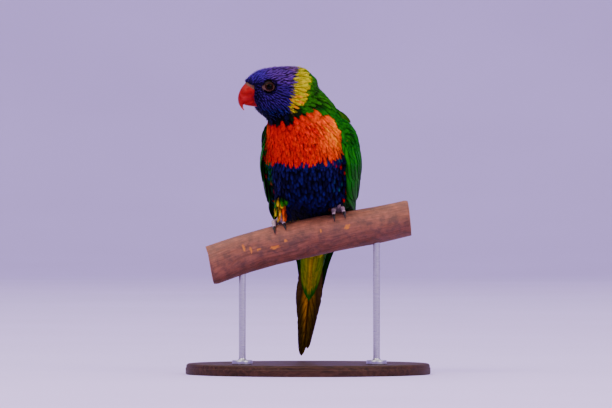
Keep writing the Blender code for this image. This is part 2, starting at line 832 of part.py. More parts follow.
def build_tail_covert(name, below, index, count, reach):
    """A covert over the roots of the tail feathers, on its back or on its underside."""
    spot = (index - (count - 1) / 2) * (13.5 / count)
    root = 3.0 if below else 8.0

    def point_at(s, q, face):
        along = root + (reach - root) * s
        wide = 13.5 / count * 0.72 * feather_width(s, root=0.7, taper=0.45)
        aside = spot * (1 - 0.35 * s) + wide * q
        bed = float(spline_at(along, (0, 6, 12, 18, 24, 30), (11.3, 9.6, 7.6, 5.8, 4.4, 3.6)))
        stack = -(bed + 0.1) if below else bed - 0.4
        lift = (-0.75 - 0.5 * s) if below else 0.9
        slant = 0.42 * q * (1 if index % 2 else -1)
        height = (stack + lift) * s + (stack * 0.72) * (1 - s) if s < 0.25 else stack + lift
        return tail_point(along, aside, height + slant + face * VANE_THICK / 2)

    return vane(name, point_at, (0.0, 0.3, 0.7, 1.0))


def build_tail():
    vanes = []
    for pair in range(len(TAIL_LENGTHS)):
        for side in (-1, 1):
            vanes.append(build_rectrix(f"rectrix_{pair}_{side}", pair, side))
    for i in range(3):
        vanes.append(build_tail_covert(f"under_covert_{i}", True, i, 3, 34.0 - 4.0 * abs(i - 1)))
        vanes.append(build_tail_covert(f"upper_covert_{i}", False, i, 3, 30.0))
    made = build_tail_bed()
    join_pieces(made, vanes)
    return finish(keep_largest(made), "olive")


# Head, neck and torso


def build_eye_parts(head):
    """Sinks a socket for each eye into the head, rims it with its lids, and makes the eyes."""
    eyes = []
    for label, side in (("left", 1), ("right", -1)):
        deep = EYE_TOP - EYE_RADIUS
        place = head_point(EYE_PLACE[0], side * deep, EYE_PLACE[1])
        outer = head_point(EYE_PLACE[0], side * (EYE_TOP + 3.0), EYE_PLACE[1])
        rim = head_point(EYE_PLACE[0], side * (EYE_TOP - 1.6), EYE_PLACE[1])
        dish = cone("dish", rim, outer, EYE_DISH - 1.3, EYE_DISH + 2.0, LID_SIDES)
        boolean(head, dish, "DIFFERENCE", solver="MANIFOLD")
        rings = []
        for a in [2 * math.pi * k / LID_SIDES for k in range(LID_SIDES)]:
            ring = []
            for b in [2 * math.pi * k / 5 for k in range(5)]:
                out = LID_RING + LID_THICK * math.cos(b)
                lift = EYE_TOP - 1.55 + LID_THICK * 1.3 * math.sin(b)
                spot = (EYE_PLACE[0] + out * math.cos(a), side * lift, EYE_PLACE[1] + out * math.sin(a))
                ring.append(head_point(*spot))
            rings.append(ring)
        boolean(head, closed_ring("lids", rings), "UNION", solver="MANIFOLD")
        socket = ball("socket", place, EYE_RADIUS + GAP + 0.1, 14, 9)
        boolean(head, socket, "DIFFERENCE", solver="MANIFOLD")
        eye = ball(f"eye_{label}", place, EYE_RADIUS, 14, 9)
        eyes.append(finish(eye, "eye", 180.0))
    return eyes


def closed_ring(name, rings):
    """A closed mesh through rings that come back to the first one."""
    count, sides = len(rings), len(rings[0])
    faces = []
    for i in range(count):
        for k in range(sides):
            after = (i + 1) % count
            a, b = i * sides + k, i * sides + (k + 1) % sides
            faces.append((a, b, after * sides + (k + 1) % sides, after * sides + k))
    made = mesh_object(name, [p for ring in rings for p in ring], faces)
    shape = bmesh.new()
    shape.from_mesh(made.data)
    bmesh.ops.recalc_face_normals(shape, faces=shape.faces)
    shape.to_mesh(made.data)
    shape.free()
    return made


def head_slab(name, thick):
    """The slanted slab behind which the bill's skin is the cere. It is cut in the head's frame."""
    (h0, v0), (h1, v1) = CERE_FROM, CERE_TO
    length = math.hypot(h1 - h0, v1 - v0)
    along = np.array(((h1 - h0) / length, (v1 - v0) / length))
    lift = np.array((along[1], -along[0]))
    points = []
    for aside in (-14.0, 14.0):
        for stretch in (-12.0, 30.0):
            for rise in (0.0, thick):
                spot = np.array(CERE_FROM) + along * stretch + lift * rise
                points.append(head_point(spot[0], aside, spot[1]))
    faces = [(0, 1, 3, 2), (4, 6, 7, 5), (0, 4, 5, 1), (2, 3, 7, 6), (0, 2, 6, 4), (1, 5, 7, 3)]
    made = mesh_object(name, points, faces)
    shape = bmesh.new()
    shape.from_mesh(made.data)
    bmesh.ops.recalc_face_normals(shape, faces=shape.faces)
    shape.to_mesh(made.data)
    shape.free()
    return made


def build_bill():
    upper = profile_loft("bill_upper", UPPER_BILL, *BILL_MESH)
    lower = profile_loft("bill_lower", LOWER_BILL, *LOWER_BILL_MESH)
    clear = profile_loft("clear", UPPER_BILL, *BILL_MESH, grow=GAP)
    boolean(lower, clear, "DIFFERENCE")
    keep_largest(lower)
    cere = profile_loft("cere", UPPER_BILL, *BILL_MESH, grow=0.25)
    boolean(cere, head_slab("behind", 40.0), "INTERSECT")
    boolean(upper, head_slab("behind_gap", 40.0), "DIFFERENCE")
    shift = head_slab("gap", -GAP)
    boolean(upper, shift, "DIFFERENCE")
    keep_largest(upper)
    for side in (1, -1):
        inner = head_point(NOSTRIL[0] - 0.6, side * 1.4, NOSTRIL[1] - 2.0)
        outer = head_point(NOSTRIL[0] + 1.5, side * 4.6, NOSTRIL[1] + 3.0)
        boolean(cere, cone("nostril", inner, outer, NOSTRIL_RADIUS, NOSTRIL_RADIUS, 8), "DIFFERENCE")
    finish(keep_largest(cere), "cere")
    return finish(upper, "bill"), finish(lower, "bill")


def build_body():
    """Head, neck and torso are one form, parted by two thin cuts."""
    last = TRUNK_FORM.knots[-1]
    rings = [TRUNK_FORM.ring(t, TRUNK_SIDES) for t in np.linspace(0.0, last, TRUNK_RINGS)]
    whole = loft("torso", rings)
    skull = profile_loft("skull", HEAD, HEAD_RINGS, HEAD_SIDES, cheek=CHEEK)
    boolean(whole, skull, "UNION")
    boolean(whole, branch_cutter(GAP), "DIFFERENCE")
    for place in FOOT_PLACES.values():
        boolean(whole, foot_bay(place), "DIFFERENCE")
    head, neck = copy_of(whole, "head"), copy_of(whole, "neck")
    boolean(head, slab("below", *NECK_TOP, 200.0, above=False), "DIFFERENCE")
    boolean(neck, slab("above", *shifted(NECK_TOP, -GAP), 200.0, above=True), "DIFFERENCE")
    boolean(neck, slab("below", *NECK_FOOT, 200.0, above=False), "DIFFERENCE")
    boolean(whole, slab("above", *shifted(NECK_FOOT, -GAP), 200.0, above=True), "DIFFERENCE")
    for table, mesh in ((UPPER_BILL, BILL_MESH), (LOWER_BILL, LOWER_BILL_MESH)):
        boolean(head, profile_loft("root", table, *mesh, grow=GAP + 0.25), "DIFFERENCE")
    build_eye_parts(head)
    for made, colour in ((head, "blue"), (neck, "green"), (whole, "navy")):
        finish(keep_largest(made), colour)
    return whole


# Legs


def toe_path(x, spread, from_angle, to_angle, shift, count=7):
    """Points along a toe that wraps round the branch, with its radii."""
    points, radii = [], []
    for i in range(count):
        share = i / (count - 1)
        swell = TOE_RADIUS * (1.0 + 0.13 * math.sin(share * 4 * math.pi + 0.5)) * (1 - 0.18 * share)
        angle = from_angle + (to_angle - from_angle) * share
        middle, along, outward, radius = perch_section(x, angle)
        aside = shift + spread * share
        arch = TOE_ARCH * math.sin(math.pi * min(1.0, 1.5 * share))
        points.append(middle + outward * (radius + GAP + 0.1 + swell + arch) + along * aside)
        radii.append(swell)
    return points, radii


TOES = (
    ("front_inner", 3.2, 1.4, 112.0, 60.0),
    ("front_outer", -3.2, -1.4, 112.0, 56.0),
    ("back_inner", 2.6, 2.0, 116.0, 172.0),
    ("back_outer", -2.6, -2.0, 116.0, 178.0),
)
TOE_ARCH = 0.9
FOOT_BAY_HALF, FOOT_BAY_HIGH = 7.6, 5.2


def foot_bay(x):
    """Room for a foot under the belly, as a short and wider piece of the branch."""
    rings = []
    for place in np.linspace(x - FOOT_BAY_HALF, x + FOOT_BAY_HALF, 5):
        ring = []
        for k in range(PERCH_SIDES):
            middle, _, outward, radius = perch_section(place, 360.0 * k / PERCH_SIDES, FOOT_BAY_HIGH)
            ring.append(middle + outward * radius)
        rings.append(ring)
    return loft("foot_bay", rings)


def shank_path(label):
    """The bare shank, from the ball of the foot up into the thigh."""
    x = FOOT_PLACES[label]
    middle, _, outward, radius = perch_section(x, 108.0)
    ball_of_foot = middle + outward * (radius + GAP + 2.6)
    side = 1 if label == "left" else -1
    ankle = np.array((side * 20.8 + 1.0, PERCH_Y - 5.5, ball_of_foot[2] + 5.0))
    return [ball_of_foot, (ball_of_foot + ankle) / 2, ankle], [2.5, 2.0, 2.0]


def build_foot(label):
    """The scaly foot: its short shank and four toes, two forward and two back, and their claws."""
    x = FOOT_PLACES[label]
    pieces = []
    for toe, shift, spread, start, end in TOES:
        points, radii = toe_path(x, spread, start, end, shift * 0.45 + shift * 0.3)
        pieces.append(tube(toe, points, radii))
        turn = -1.0 if end < start else 1.0
        claw_points, claw_radii = [], []
        for i in range(6):
            share = i / 5
            angle = end + turn * (4.0 + 20.0 * share)
            spot, line, out, round_mm = perch_section(x, angle)
            thick = CLAW_RADIUS * (1 - share) ** 0.7 + 0.22
            lift = GAP + 0.25 + thick + 1.1 * math.sin(share * math.pi) * (1 - share * 0.3)
            claw_points.append(spot + out * (round_mm + lift) + line * (shift * 0.75 + spread * (1 + 0.2 * share)))
            claw_radii.append(thick)
        claw = tube(f"claw_{label}_{toe}", claw_points, claw_radii, resolution=1)
        clear = tube("clear", *grown(points, radii))
        boolean(claw, clear, "DIFFERENCE")
        finish(keep_largest(claw), "claw")
    shank = tube(f"foot_{label}", *shank_path(label))
    join_pieces(shank, pieces)
    return finish(keep_largest(shank), "foot")


def grown(points, radii):
    """The same bar, larger all round and longer at its end by the gap."""
    ahead = unit(points[-1] - points[-2])
    return points + [points[-1] + ahead * GAP], [r + GAP for r in radii] + [radii[-1] + GAP]


def build_thigh(label, torso_clear):
    """The feathered thigh, from the flank down to the top of the foot."""
    side = 1 if label == "left" else -1
    lift = 3.4 if label == "left" else -3.4
    points = []
    for i, (aside, reach, height) in enumerate(THIGH_PATH):
        points.append((side * aside + 1.5, PERCH_Y - reach, height + lift * (0.35 + 0.3 * i)))
    made = tube(f"thigh_{label}", points, THIGH_RADII, resolution=4)
    boolean(made, torso_clear, "DIFFERENCE", keep_cutter=True)
    return keep_largest(made)


def build_legs(torso):
    last = TRUNK_FORM.knots[-1]
    rings = [TRUNK_FORM.ring(t, TRUNK_SIDES, GAP) for t in np.linspace(0.0, last, TRUNK_RINGS)]
    torso_clear = loft("torso_clear", rings)
    for label in FOOT_PLACES:
        build_foot(label)
        thigh = build_thigh(label, torso_clear)
        boolean(thigh, foot_bay(FOOT_PLACES[label]), "DIFFERENCE")
        pocket = tube("pocket", *grown(*shank_path(label)))
        boolean(thigh, pocket, "DIFFERENCE", keep_cutter=True)
        boolean(torso, pocket, "DIFFERENCE")
        finish(keep_largest(thigh), "green")
    finish(keep_largest(torso), "navy")
    bpy.data.objects.remove(torso_clear)


def main():
    finish(build_branch(), "bark")
    build_base()
    clear = branch_cutter(GAP)
    for label, x in zip(("left", "right"), ROD_PLACES):
        build_rod(f"stand_rod_{label}", x, clear)
    bpy.data.objects.remove(clear)
    build_bill()
    build_legs(build_body())
    build_tail()
    for label, side in (("left", 1.0), ("right", -1.0)):
        build_wing(f"wing_{label}", side)


main()
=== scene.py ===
"""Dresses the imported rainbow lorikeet: a skin under a full coat of feathers, wings and tail in
tiers of vanes, horn bill, wet eyes, scaly feet, the weathered branch and the display stand."""

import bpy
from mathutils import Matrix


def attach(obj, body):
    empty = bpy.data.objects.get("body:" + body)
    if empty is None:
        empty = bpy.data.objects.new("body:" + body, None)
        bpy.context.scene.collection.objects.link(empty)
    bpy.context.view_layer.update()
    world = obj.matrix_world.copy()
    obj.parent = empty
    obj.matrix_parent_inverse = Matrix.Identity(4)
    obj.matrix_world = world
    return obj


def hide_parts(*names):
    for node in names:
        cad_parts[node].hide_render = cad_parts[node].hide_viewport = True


bl_info = {
    "name": "Rainbow Lorikeet on a Branch",
    "version": (1, 0, 0),
    "blender": (4, 5, 0),
    "location": "View3D > Sidebar > Lorikeet",
    "description": "Adds a feathered rainbow lorikeet on a cut branch and its display stand",
    "category": "Add Mesh",
}

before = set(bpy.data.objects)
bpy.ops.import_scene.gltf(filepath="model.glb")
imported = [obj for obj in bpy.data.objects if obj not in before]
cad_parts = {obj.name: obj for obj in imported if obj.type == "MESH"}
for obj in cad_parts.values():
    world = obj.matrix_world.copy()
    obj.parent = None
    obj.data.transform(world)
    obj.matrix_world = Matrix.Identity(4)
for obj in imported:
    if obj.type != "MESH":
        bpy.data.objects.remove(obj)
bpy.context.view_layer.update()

import math
from types import SimpleNamespace

import bmesh
import bpy
import numpy as np
from bpy.props import FloatProperty, FloatVectorProperty, IntProperty, PointerProperty
from mathutils import Vector
from mathutils.bvhtree import BVHTree
from mathutils.kdtree import KDTree

MM = 0.001
UP = np.array((0.0, 0.0, 1.0))
RNG = np.random.default_rng


# Sizes that the model was built from, in millimetres and degrees

BASE_LENGTH, BASE_DEPTH, BASE_THICK = 180.0, 142.0, 8.0
ROD_RADIUS, ROD_FOOT_RADIUS, ROD_FOOT_THICK = 2.5, 7.5, 3.0
ROD_PLACES = (-48.0, 50.0)
GAP = 0.3

PERCH_Y = -24.0
PERCH_LEFT, PERCH_RIGHT = -71.0, 74.0
PERCH_X = (-71.0, -42.0, -11.5, 17.6, 52.6, 74.0)
PERCH_Z = (79.6, 90.0, 97.8, 103.9, 110.2, 114.8)
PERCH_RADIUS = (14.4, 14.1, 14.1, 13.8, 13.3, 13.0)
KNOT_X, KNOT_ANGLE, KNOT_HEIGHT = 58.0, 215.0, 2.6
FOOT_PLACES = {"left": 24.7, "right": -18.1}

TRUNK = (
    (-10.0, 10.0, 206.5, -16.0, 213.5, 14.5, 40.0),
    (-9.0, 14.0, 200.0, -19.0, 207.5, 19.2, 35.0),
    (-7.5, 18.0, 194.5, -21.0, 201.5, 23.0, 28.0),
    (-5.0, 23.0, 188.0, -23.0, 195.0, 26.2, 22.0),
    (-2.2, 28.0, 181.0, -26.0, 188.5, 28.8, 18.0),
    (0.3, 32.5, 172.0, -29.0, 180.5, 30.6, 16.0),
    (1.6, 34.8, 161.0, -32.0, 170.5, 31.6, 15.0),
    (2.2, 34.5, 148.5, -35.0, 158.0, 31.6, 15.0),
    (2.8, 30.5, 136.0, -39.0, 145.0, 30.2, 13.0),
    (3.2, 21.5, 125.8, -43.5, 132.5, 27.4, 10.0),
    (3.2, 5.0, 119.2, -48.0, 119.5, 23.4, 7.0),
    (3.4, -14.0, 112.0, -52.5, 107.5, 19.0, 5.0),
    (4.0, -27.0, 101.8, -56.5, 96.5, 15.0, 4.0),
    (4.5, -36.5, 92.8, -60.0, 87.5, 12.0, 3.0),
)
WING_FORM = TRUNK[:9] + (
    (3.2, 21.5, 125.8, -43.5, 132.5, 28.6, 10.0),
    (3.3, 0.0, 118.2, -49.5, 120.5, 27.4, 7.0),
    (3.4, -15.0, 112.0, -55.0, 107.5, 23.6, 5.0),
    (3.6, -27.0, 101.0, -59.5, 96.0, 18.8, 4.0),
    (3.6, -37.0, 90.5, -63.5, 85.5, 14.2, 3.0),
    (3.0, -45.0, 80.0, -68.0, 75.0, 10.6, 3.0),
    (2.3, -52.0, 70.0, -72.5, 65.0, 8.4, 3.0),
    (1.7, -58.5, 60.5, -77.0, 55.5, 6.9, 3.0),
    (1.1, -64.0, 51.5, -81.0, 46.5, 5.8, 3.0),
)
WING_EDGE_AT = (24.0, 34.0, 58.0, 85.0, 99.0, 113.0, 129.0, 139.0, 153.0, 180.0)
WING_FRONT = (0.0, -22.0, -26.0, -20.0, -8.0, 8.0, 22.0, 30.0, 32.0, 30.0)
WING_BACK = (42.0, 52.0, 66.0, 78.0, 81.0, 82.0, 81.0, 80.0, 79.0, 78.0)
PRIMARY_TIPS = (177.0, 174.0, 170.0, 166.0, 161.5, 157.0, 152.0, 147.0)
PRIMARY_ROOT = 108.0

HEAD_MIDDLE = np.array((-17.0, -28.0, 207.0))
HEAD_TURN = 10.0
UPPER_BILL = (
    (20.0, 8.9, 17.0, -6.2, 6.2),
    (26.3, 7.5, 22.4, -7.6, 6.0),
    (30.2, 4.7, 26.8, -8.6, 5.2),
    (33.0, 0.6, 29.2, -9.4, 4.3),
    (34.4, -3.6, 30.4, -9.6, 3.3),
    (34.3, -7.6, 30.9, -10.6, 2.2),
    (32.9, -11.0, 30.7, -11.9, 1.2),
    (30.3, -13.9, 29.8, -13.5, 0.3),
)
LOWER_BILL = (
    (17.0, -3.5, 17.5, -11.8, 4.9),
    (23.0, -4.6, 23.0, -11.0, 4.3),
    (27.2, -6.4, 27.0, -10.4, 3.2),
    (29.2, -7.6, 29.2, -9.9, 2.0),
    (30.2, -8.4, 30.2, -9.4, 0.9),
)
CERE_FROM, CERE_TO = (30.2, 5.6), (22.4, -0.4)
NOSTRIL = (26.0, 5.2)
EYE_PLACE = (13.6, 3.3)
EYE_RADIUS, EYE_TOP = 4.8, 13.7
# How far the bare skin reaches from the middle of the eye, and how far aside the eyes' surfaces are
EYE_RING, EYE_SIDE = 3.5, 6.0

TAIL_ROOT = np.array((3.6, PERCH_Y + 48.5, 89.5))
TAIL_TIP = np.array((-3.5, PERCH_Y + 92.0, 11.1))
TAIL_LENGTHS = (1.0, 0.92, 0.83, 0.73, 0.63, 0.53)
TAIL_HALF_WIDTH, TAIL_FAN, TAIL_LAYER = 5.0, 1.05, 0.85


# Curves and forms, read in millimetres


def unit(vector):
    vector = np.asarray(vector, float)
    return vector / np.maximum(np.linalg.norm(vector, axis=-1, keepdims=True), 1e-12)


def spline_at(where, knots, rows):
    """A smooth curve through the rows of a table, read at one place or at several."""
    knots = np.asarray(knots, float)
    rows = np.asarray(rows, float)
    slopes = np.gradient(rows, knots, axis=0)
    where = np.asarray(where, float)
    i = np.clip(np.searchsorted(knots, where) - 1, 0, len(knots) - 2)
    width = knots[i + 1] - knots[i]
    u = np.clip((where - knots[i]) / width, 0.0, 1.0)
    if rows.ndim > 1:
        u, width = u[..., None], width[..., None]
    rise = (rows[i + 1] - rows[i]) * (3 * u**2 - 2 * u**3)
    start = slopes[i] * width * (u**3 - 2 * u**2 + u)
    end = slopes[i + 1] * width * (u**3 - u**2)
    return rows[i] + rise + start + end


def smooth(value, low, high):
    u = np.clip((np.asarray(value, float) - low) / (high - low), 0.0, 1.0)
    return u * u * (3 - 2 * u)


class Form:
    """A body of oval sections. The angle runs from the side, 0, to the back, 90, or to the breast,
    -90. Distances and angles may be arrays."""

    def __init__(self, table):
        self.rows = np.array(table, float)
        _, front, front_z, back, back_z, _, _ = self.rows.T
        middles = np.stack([-(front + back) / 2, (front_z + back_z) / 2], axis=1)
        steps = np.linalg.norm(np.diff(middles, axis=0), axis=1)
        self.knots = np.concatenate([[0.0], np.cumsum(steps)])

    def section(self, along):
        row = spline_at(along, self.knots, self.rows)
        x, front, front_z, back, back_z, half, turned = np.moveaxis(row, -1, 0)
        turn = np.radians(turned)
        zero = np.zeros_like(turn)
        left = np.stack([np.cos(turn), -np.sin(turn), zero], axis=-1)
        forward = np.stack([-np.sin(turn), -np.cos(turn), zero], axis=-1)
        middle = np.stack([x, PERCH_Y - (front + back) / 2, (front_z + back_z) / 2], axis=-1)
        depth = forward * ((front - back) / 2)[..., None] + UP * ((front_z - back_z) / 2)[..., None]
        return middle, left * half[..., None], depth

    def point(self, along, angle, height=0.0, side=1.0):
        middle, across, depth = self.section(along)
        turn = np.radians(np.asarray(angle, float))[..., None]
        half = np.linalg.norm(across, axis=-1, keepdims=True)
        deep = np.linalg.norm(depth, axis=-1, keepdims=True)
        place = middle + side * across * np.cos(turn) - depth * np.sin(turn)
        outward = side * across / half**2 * np.cos(turn) - depth / deep**2 * np.sin(turn)
        return place + unit(outward) * np.asarray(height, float)[..., None]


TRUNK_FORM = Form(TRUNK)
WINGS = Form(WING_FORM)


def head_axes():
    turn = math.radians(HEAD_TURN)
    forward = np.array((-math.cos(turn), -math.sin(turn), 0.0))
    left = np.array((math.sin(turn), -math.cos(turn), 0.0))
    return forward, left


HEAD_FORWARD, HEAD_LEFT = head_axes()


def head_point(reach, aside, height):
    """A point in the head's frame: towards the bill, to the head's left, and up."""
    reach, aside, height = (np.asarray(v, float)[..., None] for v in (reach, aside, height))
    return HEAD_MIDDLE + HEAD_FORWARD * reach + HEAD_LEFT * aside + UP * height


def perch_frame(x, angle):
    """A point on the branch. The angle runs from the front, 0, over the top, 90, to the back."""
    x, angle = np.broadcast_arrays(np.asarray(x, float), np.asarray(angle, float))
    height = spline_at(x, PERCH_X, PERCH_Z)
    slope = spline_at(x + 1, PERCH_X, PERCH_Z) - spline_at(x - 1, PERCH_X, PERCH_Z)
    zero = np.zeros_like(x)
    along = unit(np.stack([zero + 2.0, zero, slope], axis=-1))
    lift = np.stack([-along[..., 2], zero, along[..., 0]], axis=-1)
    turn = np.radians(angle)[..., None]
    outward = lift * np.sin(turn) + np.array((0.0, -1.0, 0.0)) * np.cos(turn)
    radius = spline_at(x, PERCH_X, PERCH_RADIUS)
    middle = np.stack([x, zero + PERCH_Y, height], axis=-1)
    return middle, along, outward, radius


def wing_point(side, along, share, height):
    """A point on a folded wing: a share 0 at the breast edge to 1 at the back edge."""
    front = spline_at(along, WING_EDGE_AT, WING_FRONT)
    back = spline_at(along, WING_EDGE_AT, WING_BACK)
    return WINGS.point(along, front + (back - front) * share, height, side)


# Meshes


def linear(hex_colour):
    """The linear red, green, blue and one of an sRGB hex colour."""
    raw = [int(hex_colour.lstrip("#")[i : i + 2], 16) / 255 for i in (0, 2, 4)]
    turned = [v / 12.92 if v <= 0.04045 else ((v + 0.055) / 1.055) ** 2.4 for v in raw]
    return (*turned, 1.0)


def tint(colour):
    """Red, green and blue of a colour property."""
    return np.array(colour)[:3]


def rgb(hex_colour):
    return tint(linear(hex_colour))


def add_mesh(name, points, faces):
    """A mesh object from points in millimetres and an array of triangles or a list of faces."""
    mesh = bpy.data.meshes.new(name)
    points = np.asarray(points, float).reshape(-1, 3) * MM
    if isinstance(faces, np.ndarray):
        mesh.vertices.add(len(points))
        mesh.vertices.foreach_set("co", points.ravel())
        mesh.loops.add(faces.size)
        mesh.loops.foreach_set("vertex_index", faces.ravel().astype(np.int32))
        mesh.polygons.add(len(faces))
        mesh.polygons.foreach_set("loop_start", np.arange(0, faces.size, faces.shape[1], dtype=np.int32))
        mesh.update(calc_edges=True)
    else:
        mesh.from_pydata(points.tolist(), [], faces)
        mesh.update()
    mesh.shade_smooth()
    made = bpy.data.objects.new(name, mesh)
    bpy.context.scene.collection.objects.link(made)
    return made


def clean_up(made):
    """Turns a mesh's faces outward."""
    shape = bmesh.new()
    shape.from_mesh(made.data)
    bmesh.ops.recalc_face_normals(shape, faces=shape.faces)
    shape.to_mesh(made.data)
    shape.free()
    return made


def bake(made):
    """Replaces an object's mesh by what its modifiers make of it."""
    graph = bpy.context.evaluated_depsgraph_get()
    mesh = bpy.data.meshes.new_from_object(made.evaluated_get(graph))
    made.modifiers.clear()
    old, made.data = made.data, mesh
    bpy.data.meshes.remove(old)


def grid_faces(rows, columns, closed=False):
    """Quads of a grid of points, whose rows may close on themselves."""
    faces = []
    for i in range(rows - 1):
        for k in range(columns if closed else columns - 1):
            a, b = i * columns + k, i * columns + (k + 1) % columns
            faces.append((a, b, b + columns, a + columns))
    return faces


def set_points(made, name, values):
    """Stores one number or one colour for each point of a mesh, for its material to read."""
    values = np.asarray(values, np.float32)
    if values.ndim == 1:
        kept = made.data.attributes.new(name, "FLOAT", "POINT")
        kept.data.foreach_set("value", values)
    else:
        kept = made.data.color_attributes.new(name, "FLOAT_COLOR", "POINT")
        if values.shape[1] == 3:
            values = np.concatenate([values, np.ones((len(values), 1), np.float32)], axis=1)
        kept.data.foreach_set("color", values.ravel())


def joined(parts):
    """Several pairs of points and faces as one pair."""
    points, faces, start = [], [], 0
    for more_points, more_faces in parts:
        points.append(more_points)
        faces += [[start + int(i) for i in face] for face in more_faces]
        start += len(more_points)
    return np.concatenate(points), faces


def bar_faces(rings, sides):
    """Faces of a bar of closed rings of points, which its two end points follow."""
    start, end = rings * sides, (rings - 1) * sides
    faces = grid_faces(rings, sides, closed=True)
    faces += [(k, start, (k + 1) % sides) for k in range(sides)]
    faces += [(end + k, end + (k + 1) % sides, start + 1) for k in range(sides)]
    return faces


def turns_of(sides):
    """The angles of evenly spaced points round a ring, in radians."""
    return 2 * math.pi * np.arange(sides) / sides


def thicken(made, thick, softer=False):
    """Gives an open sheet its thickness in millimetres, inward."""
    solid = made.modifiers.new("thickness", "SOLIDIFY")
    solid.thickness, solid.offset = thick * MM, -1.0
    if softer:
        soft = made.modifiers.new("soft", "SUBSURF")
        soft.levels = soft.render_levels = 1
    bake(made)
    made.data.shade_smooth()


def place(made, finish, slot, *nodes):
    """Gives a finished piece its material, sets it on the model's body and hides the solids it replaces; its
    slot is not used.
    """
    made.data.materials.append(finish)
    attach(made, "root")
    if nodes:
        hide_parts(*nodes)


# Materials


class Nodes:
    """A material's node tree, with one way to add a node with its settings and its links."""

    def __init__(self, name):
        self.material = bpy.data.materials.new(name)
        self.material.use_nodes = True
        self.tree = self.material.node_tree
        self.shader = self.tree.nodes["Principled BSDF"]

    def add(self, kind, inputs, out=0, stops=(), **settings):
        """Adds a node and gives one of its outputs. Its inputs are given by name or in their order,
        and the stops are a colour ramp's."""
        made = self.tree.nodes.new("ShaderNode" + kind)
        for key, value in settings.items():
            setattr(made, key, value)
        for key, value in inputs.items() if isinstance(inputs, dict) else enumerate(inputs):
            self.join(value, made.inputs[key])
        for _ in stops[2:]:
            made.color_ramp.elements.new(1.0)
        for (spot, colour), element in zip(stops, made.color_ramp.elements if stops else ()):
            element.position, element.color = spot, (*colour, 1.0)
        return made.outputs[out]

    def join(self, value, socket):
        if isinstance(value, bpy.types.NodeSocket):
            self.tree.links.new(value, socket)
        else:
            socket.default_value = value

    def set(self, **sockets):
        for key, value in sockets.items():
            self.join(value, self.shader.inputs[key.replace("_", " ")])
        return self.material
# What a user may change


class LorikeetPlumage(bpy.types.PropertyGroup):
    """Colours and sizes of the coat."""

    crown: FloatVectorProperty(
        name="Crown", description="Violet blue of the crown", subtype="COLOR", size=4,
        default=linear("#8a4acc"),
    )
    cheek: FloatVectorProperty(
        name="Cheek", description="Deep blue of the cheek", subtype="COLOR", size=4,
        default=linear("#4a149c"),
    )
    collar: FloatVectorProperty(
        name="Collar", description="Yellow green collar", subtype="COLOR", size=4, default=linear("#c4b000"),
    )
    back: FloatVectorProperty(
        name="Back", description="Green of the nape, back and wings", subtype="COLOR", size=4,
        default=linear("#0a6a00"),
    )
    breast: FloatVectorProperty(
        name="Breast", description="Red of the breast", subtype="COLOR", size=4, default=linear("#cc0000"),
    )
    breast_side: FloatVectorProperty(
        name="Breast side", description="Orange of the breast's left side", subtype="COLOR", size=4,
        default=linear("#ff6400"),
    )
    belly: FloatVectorProperty(
        name="Belly", description="Blue black of the belly", subtype="COLOR", size=4,
        default=linear("#180c58"),
    )
    vent: FloatVectorProperty(
        name="Vent", description="Olive yellow under the tail", subtype="COLOR", size=4,
        default=linear("#b0a800"),
    )
    body_spacing: FloatProperty(
        name="Body feather spacing", description="Between body feathers", subtype="DISTANCE", unit="LENGTH",
        min=0.002, max=0.01, default=0.0031,
    )
    head_spacing: FloatProperty(
        name="Head feather spacing", description="Between head feathers", subtype="DISTANCE", unit="LENGTH",
        min=0.001, max=0.004, default=0.00125,
    )
    seed: IntProperty(name="Seed", description="Start of the random variation", default=7)


class LorikeetBare(bpy.types.PropertyGroup):
    """Bill, eyes, feet and claws."""

    bill: FloatVectorProperty(
        name="Bill", description="Red of the bill's horn", subtype="COLOR", size=4,
        default=linear("#8c0000"),
    )
    cere: FloatVectorProperty(
        name="Cere", description="Bare skin over the bill", subtype="COLOR", size=4,
        default=linear("#704e3e"),
    )
    iris: FloatVectorProperty(
        name="Iris", description="Reddish brown ring of the eye", subtype="COLOR", size=4,
        default=linear("#2c0e06"),
    )
    lid: FloatVectorProperty(
        name="Lids", description="Bare ring round the eye", subtype="COLOR", size=4,
        default=linear("#624540"),
    )
    foot: FloatVectorProperty(
        name="Feet", description="Grey mauve scales", subtype="COLOR", size=4, default=linear("#c4a6ae"),
    )
    claw: FloatVectorProperty(
        name="Claws", description="Dark horn", subtype="COLOR", size=4, default=linear("#0e0a0b"),
    )


class LorikeetPerch(bpy.types.PropertyGroup):
    """The branch."""

    wood: FloatVectorProperty(
        name="Branch", description="Weathered brown mauve skin of the branch", subtype="COLOR", size=4,
        default=linear("#864c38"),
    )
    # the dark of the furrows and the underside is painted shade; this colour also gives the grain's dark
    # streaks
    shade: FloatVectorProperty(
        name="Furrows", description="Dark of its furrows and underside", subtype="COLOR", size=4,
        default=linear("#5a2a12"),
    )
    ridges: FloatProperty(
        name="Ridges", description="Height of the long ridges", subtype="DISTANCE", unit="LENGTH",
        min=0.0, max=0.002, default=0.00033,
    )


class LorikeetStand(bpy.types.PropertyGroup):
    """The display stand."""

    board: FloatVectorProperty(
        name="Board", description="Stained beech of the base", subtype="COLOR", size=4,
        default=linear("#3a241a"),
    )
    steel: FloatVectorProperty(
        name="Rods", description="Brushed steel of the rods", subtype="COLOR", size=4,
        default=linear("#bdbdc0"),
    )


class LorikeetStage(bpy.types.PropertyGroup):
    """Floor, backdrop, lights and camera."""

    floor: FloatVectorProperty(
        name="Floor", description="Pale lilac paper", subtype="COLOR", size=4, default=linear("#d2bcf4"),
    )
    camera_distance: FloatProperty(
        name="Camera distance", description="From the perch to the camera", subtype="DISTANCE", unit="LENGTH",
        min=1.0, max=10.0, default=4.0,
    )
    key_power: FloatProperty(
        name="Key light", description="Power of the large soft light", subtype="POWER", unit="POWER",
        min=0.0, default=70.0,
    )


